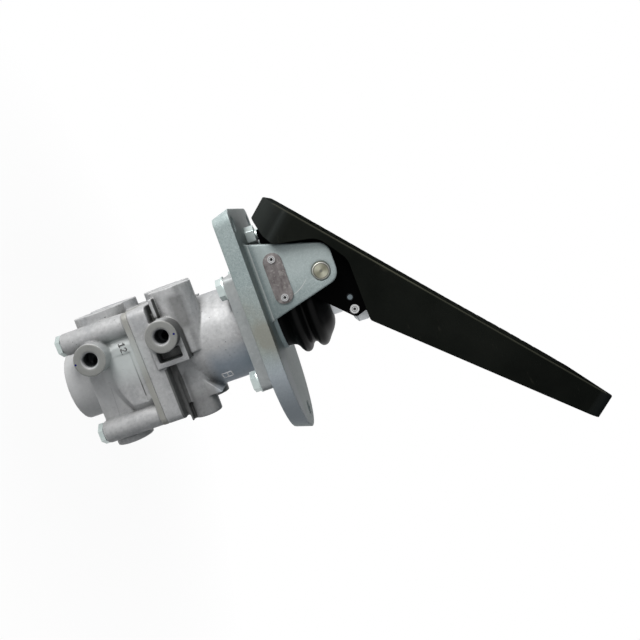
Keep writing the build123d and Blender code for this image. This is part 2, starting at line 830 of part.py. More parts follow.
# Reaction piston, its seal and springs
piston_base_z = piston_top_z - piston_crown
with BuildPart() as reaction_piston:
    axis_boss(piston_radius, piston_top_z, piston_base_z)
    axis_boss(hollow_stem_radius, piston_base_z, valve_top_z + exhaust_gap)
    axis_cut(hollow_stem_bore, piston_base_z - 2.0, valve_top_z + exhaust_gap)
    with BuildSketch(Plane.XY.offset(piston_base_z + seal_drop)):
        Circle(piston_radius)
        Circle(piston_radius - seal_section, mode=Mode.SUBTRACT)
    extrude(amount=seal_section, mode=Mode.SUBTRACT)

reaction_piston_seal = ring(
    piston_radius,
    piston_radius - seal_section + seal_squeeze_gap,
    piston_base_z + seal_drop + seal_section - seal_squeeze_gap,
    piston_base_z + seal_drop + seal_squeeze_gap,
)
graduating_spring = coil_spring(
    graduating_spring_radius, graduating_spring_wire, 2.0, plunger_tail_z, piston_top_z
)
reaction_return_spring = coil_spring(
    reaction_spring_radius, reaction_spring_wire, 2.5, piston_base_z, piston_floor_z
)


def hollow_valve(top_z, base_z, tail_z):
    """A valve disc with a hollow stem hanging from it."""
    with BuildPart() as piece:
        axis_boss(valve_disc_radius, top_z, base_z)
        axis_boss(valve_stem_radius, base_z, tail_z)
        axis_cut(valve_stem_bore, top_z, tail_z)
    return piece


def valve_guide(outer, top_z):
    """The insert that guides a hollow valve's stem: a flange with a tube below it."""
    with BuildPart() as piece:
        axis_boss(outer, top_z, top_z - guide_insert_thick)
        axis_boss(
            valve_stem_radius + sliding_gap + guide_tube_wall,
            top_z - guide_insert_thick,
            top_z - guide_tube_length,
        )
        axis_cut(valve_stem_radius + sliding_gap, top_z, top_z - guide_tube_length)
    return piece


def snap_ring(outer, top_z):
    """A snap ring with the gap between its ends on the toe side."""
    with BuildPart() as piece:
        with BuildSketch(Plane.XY.offset(top_z - snap_ring_thick)):
            Circle(outer)
            Circle(outer - snap_ring_width, mode=Mode.SUBTRACT)
            with Locations((outer, 0)):
                Rectangle(3 * snap_ring_width, snap_ring_gap, mode=Mode.SUBTRACT)
        extrude(amount=snap_ring_thick)
    return piece


# Inlet valves, their springs, guides and snap rings
upper_guide_radius = inlet_chamber_radius + 2.5
lower_guide_radius = lower_chamber_radius + 2.0
upper_valve_tail_z = relay_top_z - 4.0
lower_valve_tail_z = lower_insert_top_z - guide_tube_length + 1.5
upper_valve = hollow_valve(valve_top_z, valve_base_z, upper_valve_tail_z)
lower_valve = hollow_valve(lower_valve_top_z, lower_valve_base_z, lower_valve_tail_z)
upper_valve_spring = coil_spring(
    valve_spring_radius, valve_spring_wire, 3.0, valve_base_z, insert_top_z
)
lower_valve_spring = coil_spring(
    valve_spring_radius, valve_spring_wire, 3.0, lower_valve_base_z, lower_insert_top_z
)
upper_valve_guide = valve_guide(upper_guide_radius - sliding_gap, insert_top_z)
lower_valve_guide = valve_guide(lower_guide_radius - sliding_gap, lower_insert_top_z)
upper_snap_ring = snap_ring(upper_guide_radius + snap_ring_depth, insert_top_z - guide_insert_thick)
lower_snap_ring = snap_ring(lower_guide_radius + snap_ring_depth, lower_insert_top_z - guide_insert_thick)

# Relay piston between the two circuits
relay_base_z = relay_top_z - relay_crown
with BuildPart() as relay_piston:
    axis_boss(relay_radius, relay_top_z, relay_base_z)
    axis_boss(hollow_stem_radius + 1.5, relay_base_z, relay_base_z - 4.0)
    axis_boss(hollow_stem_radius, relay_base_z - 4.0, lower_valve_top_z + exhaust_gap)
    axis_cut(hollow_stem_bore, relay_top_z, lower_valve_top_z + exhaust_gap)
    axis_cut(valve_stem_radius + 0.1, relay_top_z, relay_base_z - 2.0)
    with BuildSketch(Plane.XY.offset(relay_base_z + seal_drop)):
        Circle(relay_radius)
        Circle(relay_radius - seal_section, mode=Mode.SUBTRACT)
    extrude(amount=seal_section, mode=Mode.SUBTRACT)

relay_piston_seal = ring(
    relay_radius,
    relay_radius - seal_section + seal_squeeze_gap,
    relay_base_z + seal_drop + seal_section - seal_squeeze_gap,
    relay_base_z + seal_drop + seal_squeeze_gap,
)
relay_return_spring = coil_spring(
    relay_spring_radius, relay_spring_wire, 2.0, relay_base_z, relay_floor_z
)

# Exhaust end: cover with slots, rubber flap and snap ring
cover_base_z = exhaust_floor_z - cover_thick
with BuildPart() as exhaust_cover:
    axis_boss(lower_guide_radius - sliding_gap, exhaust_floor_z, cover_base_z)
    axis_cut(cover_pin_radius, exhaust_floor_z, cover_base_z)
    with BuildSketch(Plane.XY.offset(cover_base_z)):
        with PolarLocations(cover_hole_circle, 6):
            Circle(cover_hole_radius)
    extrude(amount=cover_thick, mode=Mode.SUBTRACT)

with BuildPart() as exhaust_flap:
    axis_boss(cover_pin_radius, exhaust_floor_z, cover_base_z)
    axis_boss(flap_radius, cover_base_z, cover_base_z - flap_thick)

cover_snap_ring = snap_ring(lower_guide_radius + snap_ring_depth, cover_base_z)


def port_mouth(x, y, z):
    """Bores a big pipe port from its face at x, with a chamfered mouth."""
    side_cylinder(port_bore_radius, x, x + port_bore_depth, y, z, mode=Mode.SUBTRACT)


def small_port_mouth(x, z):
    """Bores a small test port from the near face."""
    near_cylinder(
        small_port_bore_radius, small_port_face_y, small_port_face_y + small_port_bore_depth,
        x, z, mode=Mode.SUBTRACT,
    )


def port_rims(piece, radius, axis_name):
    """Circle edges of one radius that lie on the outermost faces of the ports."""
    face = port_face_x if axis_name == "X" else small_port_face_y
    return (
        piece.edges()
        .filter_by(GeomType.CIRCLE)
        .filter_by(lambda e: abs(e.radius - radius) < 0.01)
        .filter_by(lambda e: abs(getattr(e.arc_center, axis_name) - face) < 0.05)
    )


def bolt_holes(radius, top_z, base_z):
    """Four holes on the square bolt pattern."""
    with BuildSketch(Plane.XY.offset(base_z)) as outline:
        with GridLocations(bolt_spacing, bolt_spacing, 2, 2):
            Circle(radius)
    extrude(outline.sketch, amount=top_z - base_z, mode=Mode.SUBTRACT)


# Upper housing: flange, barrel, port bosses and base block in one casting
with BuildPart() as upper_housing:
    with BuildSketch(Plane.XY.offset(-flange_thick)):
        RectangleRounded(2 * flange_half_x, 2 * block_half_y, flange_corner)
    extrude(amount=flange_thick + flange_top_z)
    axis_boss(barrel_radius, -flange_thick, block_top_z)
    with BuildSketch(Plane.XY.offset(joint_z)):
        RectangleRounded(2 * flange_half_x, 2 * block_half_y, block_corner)
    extrude(amount=block_top_z - joint_z)
    # core between the flange and the block, with a sloping shoulder on the toe side
    with BuildSketch(Plane.XZ.offset(-core_half_y)):
        with BuildLine():
            Polyline(
                (-core_half_x, block_top_z),
                (core_half_x, block_top_z),
                (core_half_x, core_toe_z),
                (core_shoulder_x, core_shoulder_z),
                (core_shoulder_x, pad_top_z),
                (-core_half_x, core_top_z),
                close=True,
            )
        make_face()
    extrude(amount=2 * core_half_y)
    side_cylinder(delivery_boss_radius, port_face_x, 0, -port_offset_y, upper_delivery_z)
    side_cylinder(port_boss_radius, port_face_x, 0, port_offset_y, upper_supply_z)
    for side, face_x in ((-1, near_boss_face_x), (1, far_boss_face_x)):
        side_cylinder(
            blank_boss_radius, core_shoulder_x, face_x, side * blank_boss_offset_y, blank_boss_z_upper
        )
    # thin ridge beside the near blank boss, and the fin by the delivery port
    ridge_middle_z = groove_ridge_top_z - groove_ridge_thick / 2
    fin_middle_z = heel_fin_top_z - heel_fin_thick / 2
    with BuildSketch(Plane.XZ.offset(core_half_y - 4.0)):
        with Locations(((core_shoulder_x + near_boss_face_x) / 2, ridge_middle_z)):
            Rectangle(near_boss_face_x - core_shoulder_x, groove_ridge_thick)
    extrude(amount=-groove_ridge_face_y - core_half_y + 4.0)
    with BuildSketch(Plane.XZ.offset(core_half_y - 8.0)):
        with Locations(((heel_fin_heel_x + heel_fin_toe_x) / 2, fin_middle_z)):
            Rectangle(heel_fin_toe_x - heel_fin_heel_x, heel_fin_thick)
    extrude(amount=-heel_fin_face_y - core_half_y + 8.0)
    # raised pad round the small port, with its pocket
    with BuildSketch(Plane.XZ.offset(core_half_y)):
        with BuildLine():
            Polyline(
                (upper_small_port_x, pad_base_z),
                (pad_toe_x, pad_base_z),
                (pad_toe_x, pad_top_z),
                (upper_small_port_x, pad_top_z),
                close=True,
            )
        make_face()
    extrude(amount=-pad_face_y - core_half_y)
    near_cylinder(
        small_port_boss_radius, small_port_face_y, -core_half_y + 5.0,
        upper_small_port_x, upper_small_port_z,
    )
    with BuildSketch(Plane.XZ.offset(-pad_face_y - pocket_depth)):
        with Locations((pocket_x, pocket_z)):
            Rectangle(2 * pocket_half_width, 2 * pocket_half_length)
        with Locations((upper_small_port_x, upper_small_port_z)):
            Circle(small_port_boss_radius, mode=Mode.SUBTRACT)
    extrude(amount=pocket_depth, mode=Mode.SUBTRACT)
    # bores on the axis
    axis_cut(piston_radius + sliding_gap, flange_top_z, piston_floor_z)
    axis_cut(seat_hole_radius, piston_floor_z, seat_face_z)
    axis_cut(inlet_chamber_radius, seat_face_z, insert_top_z)
    with BuildSketch(Plane.XY.offset(seat_face_z)):
        Circle(inlet_chamber_radius)
        Circle(seat_lip_radius, mode=Mode.SUBTRACT)
    extrude(amount=seat_lip, mode=Mode.SUBTRACT)
    axis_cut(upper_guide_radius, insert_top_z, joint_z)
    ring_top_z = insert_top_z - guide_insert_thick
    axis_cut(upper_guide_radius + snap_ring_depth, ring_top_z, ring_top_z - snap_ring_thick)
    bolt_holes(bolt_hole_radius, flange_top_z, -flange_thick)
    bolt_holes(bolt_radius, housing_bolt_top_z, joint_z)
    # ports and their passages
    port_mouth(port_face_x, -port_offset_y, upper_delivery_z)
    port_mouth(port_face_x, port_offset_y, upper_supply_z)
    small_port_mouth(upper_small_port_x, upper_small_port_z)
    bore_end = port_face_x + port_bore_depth
    side_cylinder(2.3, bore_end - 1, -14.0, -19.0, piston_floor_z + 3.0, mode=Mode.SUBTRACT)
    side_cylinder(4.0, bore_end - 1, -12.0, 16.0, seat_face_z - 5.0, mode=Mode.SUBTRACT)
    near_cylinder(
        2.5, small_port_face_y + small_port_bore_depth - 1, -12.0,
        upper_small_port_x + 1.0, upper_small_port_z, mode=Mode.SUBTRACT,
    )
    chamfer(port_rims(upper_housing, port_bore_radius, "X"), port_mouth_chamfer)
    chamfer(port_rims(upper_housing, small_port_bore_radius, "Y"), small_port_mouth_chamfer)

# Lower housing: joint flange, shouldered body, end drum, bolt tubes and port bosses
with BuildPart() as lower_housing:
    flange_base_z = joint_z - joint_flange_thick
    with BuildSketch(Plane.XZ):
        with BuildLine():
            Polyline(
                (0, joint_z - 1.0),
                (shoulder_radius, joint_z - 1.0),
                (shoulder_radius, shoulder_end_z),
                (waist_radius, waist_start_z),
                (waist_radius - 1.0, waist_end_z),
                (0, waist_end_z),
                close=True,
            )
        make_face()
    revolve(axis=Axis.Z)
    with BuildSketch(Plane.XY.offset(waist_end_z)):
        Rectangle(2 * flange_half_x, 2 * panel_half_y)
    extrude(amount=joint_z - waist_end_z, mode=Mode.INTERSECT)
    with BuildSketch(Plane.XY.offset(waist_end_z)):
        with Locations(((waist_heel_x + half_pattern - bolt_tube_radius) / 2, 0)):
            Rectangle(half_pattern - bolt_tube_radius - waist_heel_x, 2 * waist_radius)
    extrude(amount=shoulder_end_z - waist_end_z)
    # shallow recess in the near panel, deepest at its step below the joint flange
    with BuildSketch(Plane.YZ.offset(panel_heel_x)):
        with BuildLine():
            Polyline(
                (-panel_half_y, panel_step_z),
                (-panel_half_y + panel_recess, panel_step_z),
                (-panel_half_y, panel_recess_end_z),
                close=True,
            )
        make_face()
    extrude(amount=panel_toe_x - panel_heel_x, mode=Mode.SUBTRACT)
    with BuildSketch(Plane.XY.offset(flange_base_z)):
        RectangleRounded(2 * flange_half_x, 2 * block_half_y, block_corner)
    extrude(amount=joint_flange_thick)
    axis_boss(drum_radius, waist_end_z, drum_end_z)
    for side_x, end_z in ((-1, heel_tube_end_z), (1, toe_tube_end_z)):
        with BuildSketch(Plane.XY.offset(end_z)):
            with Locations((side_x * half_pattern, -half_pattern), (side_x * half_pattern, half_pattern)):
                Circle(bolt_tube_radius)
        extrude(amount=flange_base_z - end_z)
        tube_rims = lower_housing.edges().filter_by(GeomType.CIRCLE).filter_by_position(
            Axis.Z, end_z - 0.05, end_z + 0.05
        )
        fillet(tube_rims.filter_by(lambda e: abs(e.radius - bolt_tube_radius) < 0.01), bolt_tube_round)
    for side in (-1, 1):
        side_cylinder(port_boss_radius, port_face_x, 0, side * lower_port_offset_y, lower_port_z)
        side_cylinder(
            lower_blank_radius, 0, lower_blank_face_x, side * lower_blank_offset_y, lower_blank_z
        )
    near_cylinder(
        small_port_boss_radius, small_port_face_y, -20.0, lower_small_port_x, lower_small_port_z
    )
    # bores on the axis
    axis_cut(relay_radius + sliding_gap, joint_z, relay_floor_z)
    axis_cut(seat_hole_radius, relay_floor_z, lower_seat_face_z)
    axis_cut(lower_chamber_radius, lower_seat_face_z, lower_insert_top_z)
    with BuildSketch(Plane.XY.offset(lower_seat_face_z)):
        Circle(lower_chamber_radius)
        Circle(seat_lip_radius, mode=Mode.SUBTRACT)
    extrude(amount=seat_lip, mode=Mode.SUBTRACT)
    axis_cut(lower_guide_radius, lower_insert_top_z, drum_end_z)
    lower_ring_z = lower_insert_top_z - guide_insert_thick
    axis_cut(lower_guide_radius + snap_ring_depth, lower_ring_z, lower_ring_z - snap_ring_thick)
    axis_cut(lower_guide_radius + snap_ring_depth, cover_base_z, cover_base_z - snap_ring_thick)
    with BuildSketch(Plane.XY.offset(joint_z - seal_groove_depth)):
        Circle(seal_groove_outer)
        Circle(seal_groove_outer - seal_section, mode=Mode.SUBTRACT)
    extrude(amount=seal_groove_depth, mode=Mode.SUBTRACT)
    bolt_holes(bolt_hole_radius, joint_z, heel_tube_end_z)
    # ports and their passages
    for side in (-1, 1):
        port_mouth(port_face_x, side * lower_port_offset_y, lower_port_z)
    small_port_mouth(lower_small_port_x, lower_small_port_z)
    side_cylinder(1.5, bore_end - 1, -18.0, -19.0, relay_floor_z + 1.7, mode=Mode.SUBTRACT)
    side_cylinder(2.2, bore_end - 1, -10.0, 15.0, lower_seat_face_z - 2.0, mode=Mode.SUBTRACT)
    near_cylinder(
        2.2, small_port_face_y + small_port_bore_depth - 1, -6.0,
        lower_small_port_x + 2.8, lower_small_port_z, mode=Mode.SUBTRACT,
    )
    chamfer(port_rims(lower_housing, port_bore_radius, "X"), port_mouth_chamfer)
    chamfer(port_rims(lower_housing, small_port_bore_radius, "Y"), small_port_mouth_chamfer)

joint_seal = ring(
    seal_groove_outer - seal_squeeze_gap,
    seal_groove_outer - seal_section + seal_squeeze_gap,
    joint_z,
    joint_z - seal_groove_depth + seal_squeeze_gap,
)

# Flange bolts, up through the housing flange into the plate
with BuildPart() as flange_bolts:
    with BuildSketch(Plane.XY.offset(-flange_thick)):
        with GridLocations(bolt_spacing, bolt_spacing, 2, 2):
            Circle(bolt_radius)
    extrude(amount=flange_thick + plate_thick - flange_bolt_hole_cover - flange_bolt_end_gap)
    with BuildSketch(Plane.XY.offset(-flange_thick)):
        with GridLocations(bolt_spacing, bolt_spacing, 2, 2):
            Circle(flange_bolt_collar_radius)
    extrude(amount=-flange_bolt_collar_height)
    with BuildSketch(Plane.XY.offset(-flange_thick - flange_bolt_collar_height)):
        with GridLocations(bolt_spacing, bolt_spacing, 2, 2):
            RegularPolygon(bolt_head_flats / 2, 6, major_radius=False)
    extrude(amount=flange_bolt_collar_height - flange_bolt_head_height)

# Housing bolts, up through the tubes into the base block
with BuildPart() as housing_bolts:
    for side_x, end_z in ((-1, heel_tube_end_z), (1, toe_tube_end_z)):
        places = ((side_x * half_pattern, -half_pattern), (side_x * half_pattern, half_pattern))
        with BuildSketch(Plane.XY.offset(end_z)):
            with Locations(*places):
                Circle(bolt_radius)
        extrude(amount=housing_bolt_top_z - housing_bolt_end_gap - end_z)
        with BuildSketch(Plane.XY.offset(end_z)):
            with Locations(*places):
                RegularPolygon(bolt_head_flats / 2, 6, major_radius=False)
        extrude(amount=-housing_bolt_head_height)

# Bare nameplate on the near ear and its two tubular rivets
with BuildPart() as nameplate:
    with BuildSketch(Plane.XZ.offset(ear_outer_y)):
        with Locations((nameplate_x, nameplate_z)):
            SlotOverall(nameplate_length, nameplate_width)
            with GridLocations(nameplate_rivet_spacing, 1, 2, 1):
                Circle(nameplate_rivet_shank, mode=Mode.SUBTRACT)
    extrude(amount=nameplate_thick)

with BuildPart() as nameplate_rivets:
    with BuildSketch(Plane.XZ.offset(ear_outer_y - nameplate_rivet_depth)):
        with Locations((nameplate_x, nameplate_z)):
            with GridLocations(nameplate_rivet_spacing, 1, 2, 1):
                Circle(nameplate_rivet_shank)
    extrude(amount=nameplate_rivet_depth + nameplate_thick)
    with BuildSketch(Plane.XZ.offset(ear_outer_y + nameplate_thick)):
        with Locations((nameplate_x, nameplate_z)):
            with GridLocations(nameplate_rivet_spacing, 1, 2, 1):
                Circle(nameplate_rivet_radius)
    extrude(amount=nameplate_rivet_height)
    with BuildSketch(Plane.XZ.offset(ear_outer_y + nameplate_thick + nameplate_rivet_height)):
        with Locations((nameplate_x, nameplate_z)):
            with GridLocations(nameplate_rivet_spacing, 1, 2, 1):
                Circle(nameplate_rivet_hole)
    extrude(amount=-nameplate_rivet_depth, mode=Mode.SUBTRACT)

pieces = {
    "mounting_bracket": mounting_bracket,
    "pivot_pin": pivot_pin,
    "pivot_bushes": pivot_bushes,
    "pivot_washers": pivot_washers,
    "pedal_arm": pedal_arm,
    "treadle": treadle,
    "treadle_screws": treadle_screws,
    "roller": roller,
    "roller_axle": roller_axle,
    "roller_spacers": roller_spacers,
    "spacer_block": spacer_block,
    "blind_rivets": blind_rivets,
    "stop_screw": stop_screw,
    "stop_nut": stop_nut,
    "plunger": plunger,
    "plunger_disc": plunger_disc,
    "guide_bush": guide_bush,
    "boot": boot,
    "boot_collar": boot_collar,
    "reaction_piston": reaction_piston,
    "reaction_piston_seal": reaction_piston_seal,
    "graduating_spring": graduating_spring,
    "reaction_return_spring": reaction_return_spring,
    "upper_valve": upper_valve,
    "upper_valve_spring": upper_valve_spring,
    "upper_valve_guide": upper_valve_guide,
    "upper_snap_ring": upper_snap_ring,
    "relay_piston": relay_piston,
    "relay_piston_seal": relay_piston_seal,
    "relay_return_spring": relay_return_spring,
    "lower_valve": lower_valve,
    "lower_valve_spring": lower_valve_spring,
    "lower_valve_guide": lower_valve_guide,
    "lower_snap_ring": lower_snap_ring,
    "exhaust_cover": exhaust_cover,
    "exhaust_flap": exhaust_flap,
    "cover_snap_ring": cover_snap_ring,
    "upper_housing": upper_housing,
    "lower_housing": lower_housing,
    "joint_seal": joint_seal,
    "flange_bolts": flange_bolts,
    "housing_bolts": housing_bolts,
    "nameplate": nameplate,
    "nameplate_rivets": nameplate_rivets,
}

for name, piece in pieces.items():
    piece.part.label = name
    export_step(piece.part, f"parts/{name}.step")
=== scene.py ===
import bmesh
import bpy
import json
import numpy as np
from math import cos, pi, radians, sin
from mathutils import Matrix, Vector


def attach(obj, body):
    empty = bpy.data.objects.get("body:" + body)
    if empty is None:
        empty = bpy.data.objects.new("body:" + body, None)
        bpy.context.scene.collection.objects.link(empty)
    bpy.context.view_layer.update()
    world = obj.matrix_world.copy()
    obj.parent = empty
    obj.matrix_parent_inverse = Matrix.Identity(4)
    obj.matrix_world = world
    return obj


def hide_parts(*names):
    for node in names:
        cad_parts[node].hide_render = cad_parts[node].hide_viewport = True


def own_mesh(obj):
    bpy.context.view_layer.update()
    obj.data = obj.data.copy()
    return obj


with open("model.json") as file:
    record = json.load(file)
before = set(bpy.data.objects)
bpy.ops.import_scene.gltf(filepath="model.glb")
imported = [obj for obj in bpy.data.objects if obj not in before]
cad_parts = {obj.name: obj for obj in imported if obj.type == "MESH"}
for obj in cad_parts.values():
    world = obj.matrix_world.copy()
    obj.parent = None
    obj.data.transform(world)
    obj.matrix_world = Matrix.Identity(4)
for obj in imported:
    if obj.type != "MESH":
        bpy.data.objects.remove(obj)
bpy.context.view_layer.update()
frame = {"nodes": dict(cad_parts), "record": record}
cadNodes = frame["nodes"]
slotOf = {entry["node"]: entry["material_slot"] for entry in frame["record"]["subparts"]}
print("frame loaded:", len(cadNodes), "nodes")

mm = 0.001


class Value:  # one socket; the usual operators add Math nodes
    def __init__(self, finish, socket):
        self.finish, self.socket = finish, socket

    def maths(self, operation, *others, clamp=False):
        settings = {"operation": operation, "use_clamp": clamp}
        return self.finish.add("ShaderNodeMath", settings, dict(enumerate((self,) + others)))

    def __add__(self, other):
        return self.maths("ADD", other)

    __radd__ = __add__

    def __sub__(self, other):
        return self.maths("SUBTRACT", other)

    def __rsub__(self, other):
        return self.finish.add("ShaderNodeMath", {"operation": "SUBTRACT"}, {0: other, 1: self})

    def __mul__(self, other):
        return self.maths("MULTIPLY", other)

    __rmul__ = __mul__

    def __truediv__(self, other):
        return self.maths("DIVIDE", other)

    def below(self, limit, soft):  # 1 under the limit, 0 above it, with a soft step
        return ((limit - self) / soft + 0.5).maths("ADD", 0.0, clamp=True)

    def above(self, limit, soft):
        return ((self - limit) / soft + 0.5).maths("ADD", 0.0, clamp=True)

    def most(self, other):
        return self.maths("MAXIMUM", other)


class Finish:  # one material, and the method that adds every node to it
    def __init__(self, name):
        self.material = bpy.data.materials.new(name)
        self.material.use_nodes = True
        self.tree = self.material.node_tree
        self.tree.nodes.clear()
        self.place = self.add("ShaderNodeTexCoord", output="Object")

    def add(self, kind, settings=None, inputs=None, output=0):
        node = self.tree.nodes.new(kind)
        for key, value in (settings or {}).items():
            setattr(node, key, value)
        for key, value in (inputs or {}).items():
            if isinstance(value, Value):
                self.tree.links.new(value.socket, node.inputs[key])
            else:
                node.inputs[key].default_value = value
        return None if output is None else Value(self, node.outputs[output])

    def xyz(self):
        return [self.add("ShaderNodeSeparateXYZ", {}, {0: self.place}, output=i) for i in range(3)]

    def noise(self, scale, detail=3.0, rough=0.5, place=None):
        return self.add("ShaderNodeTexNoise", {"noise_dimensions": "3D"}, {
            "Vector": place or self.place, "Scale": scale, "Detail": detail, "Roughness": rough})

    def cells(self, scale, output=0):
        return self.add("ShaderNodeTexVoronoi", {}, {"Vector": self.place, "Scale": scale}, output=output)

    def stretched(self, scale, turn=(0, 0, 0)):  # object coordinates, turned and scaled
        return self.add("ShaderNodeMapping", {}, {
            "Vector": self.place, "Rotation": turn, "Scale": scale})

    def mix(self, factor, low, high):  # colours
        return self.add("ShaderNodeMix", {"data_type": "RGBA"}, {0: factor, 6: low, 7: high}, output=2)

    def bump(self, height, strength, distance):
        return self.add("ShaderNodeBump", {}, {
            "Strength": strength, "Distance": distance, "Height": height})

    def corners(self):  # how far the surface bends: above 0.5 on edges, below it in corners
        return self.add("ShaderNodeNewGeometry", output="Pointiness")

    def openness(self, reach):  # 1 in the open, less where the piece itself stands near; reach in mm
        return self.add("ShaderNodeAmbientOcclusion", {"samples": 6, "only_local": True},
                        {"Distance": reach * mm}, output="AO")

    def upwards(self):  # height of the surface's own direction
        facing = self.add("ShaderNodeNewGeometry", output="Normal")
        return self.add("ShaderNodeSeparateXYZ", {}, {0: facing}, output=2)

    def surface(self, **inputs):
        named = {key.replace("_", " "): value for key, value in inputs.items()}
        shader = self.add("ShaderNodeBsdfPrincipled", {}, named)
        self.add("ShaderNodeOutputMaterial", {}, {"Surface": shader}, output=None)
        return self.material


def grey(level, warm=0.0, blue=0.0):
    return (level * (1 + warm), level, level * (1 - warm + blue), 1.0)


# cut threads in the ports: mouth centre in mm, direction into the housing, core radius, depth, pitch
ports = {
    "frontDelivery": ((-47.0, -21.0, -48.0), (1, 0, 0), 10.2, 12.4, 1.5),
    "frontSupply": ((-47.0, 21.0, -59.5), (1, 0, 0), 10.2, 12.4, 1.5),
    "rearDelivery": ((-47.0, -18.0, -101.0), (1, 0, 0), 10.2, 12.4, 1.5),
    "rearSupply": ((-47.0, 18.0, -101.0), (1, 0, 0), 10.2, 12.4, 1.5),
    "frontTest": ((-18.4, -50.0, -58.0), (0, 1, 0), 5.2, 10.6, 1.5),
    "rearTest": ((-19.3, -50.0, -108.0), (0, 1, 0), 5.2, 10.6, 1.5),
}
inkDots = [(-19.4, -117.8), (-17.6, -49.2)]  # x and z in mm
portEnds = {"heel": -46.7, "near": -49.7}  # machined faces start here: x of the ports, y of the test ports


def dotPlace(across, along, atAcross, atAlong):  # distance from a line through the part, in metres
    a, b = across - atAcross * mm, along - atAlong * mm
    return (a * a + b * b).maths("SQRT")


def region(place, box):
    # a soft-sided box: for each axis named, (from, soft, to, soft) in mm, None where it stays open
    mask = None
    for axis, (low, lowSoft, high, highSoft) in box.items():
        sides = [] if low is None else [place[axis].above(low * mm, lowSoft * mm)]
        sides += [] if high is None else [place[axis].below(high * mm, highSoft * mm)]
        for side in sides:
            mask = side if mask is None else mask * side
    return mask


# tones of the photo's light that are set by place: they match its view and are no colour of the metal
housingLight = {
    "toeFlank": {"y": (None, 0, -22.0, 4.0), "z": (-60.0, 2.0, -40.0, 3.0), "x": (None, 0, 9.0, 3.0)},
    "groove": {"z": (-66.0, 0.6, -59.5, 0.6), "x": (4.0, 1.0, None, 0), "y": (None, 0, -22.0, 3.0)},
    "lowToe": {"x": (27.0, 10.0, None, 0), "z": (-60.0, 2.0, -40.0, 4.0)},
    "heelBoss": {"z": (-49.0, 5.0, -39.0, 3.0), "x": (-41.0, 4.0, -16.0, 6.0), "y": (None, 0, -8.0, 6.0)},
    "barrelLow": {"z": (-38.0, 8.0, -9.0, 2.0), "x": (9.0, 14.0, None, 0)},
    "flangeTop": {"z": (-9.5, 0.5, None, 0)},
}
drumLight = {"radius": (37.0, 3.0), "top": (-86.0, 3.0)}  # each with its softness
numberLight = {"centre": (-12.0, -91.0), "radius": (14.0, 16.0), "near": (-34.0, 2.0)}
# marks of the casting itself; the panel's groove is real, and here only a painted shade line
housingMarksAndShade = {
    "jointFlange": {"z": (-80.9, 0.3, -77.2, 0.3)},
    "partingLine": {"x": (5.0, 1.0, 25.0, 1.0), "y": (None, 0, -30.0, 1.0)},
    "panelGroove": {"y": (None, 0, -30.0, 1.0), "x": (-14.0, 0.4, 17.0, 0.4)},
}
# lines along x: height at the middle in mm, slope, half width and softness in mm
housingLines = {"partingLine": (-107.3, 0.067, 0.14, 0.1), "panelGroove": (-85.4, 0.0, 0.40, 0.25)}


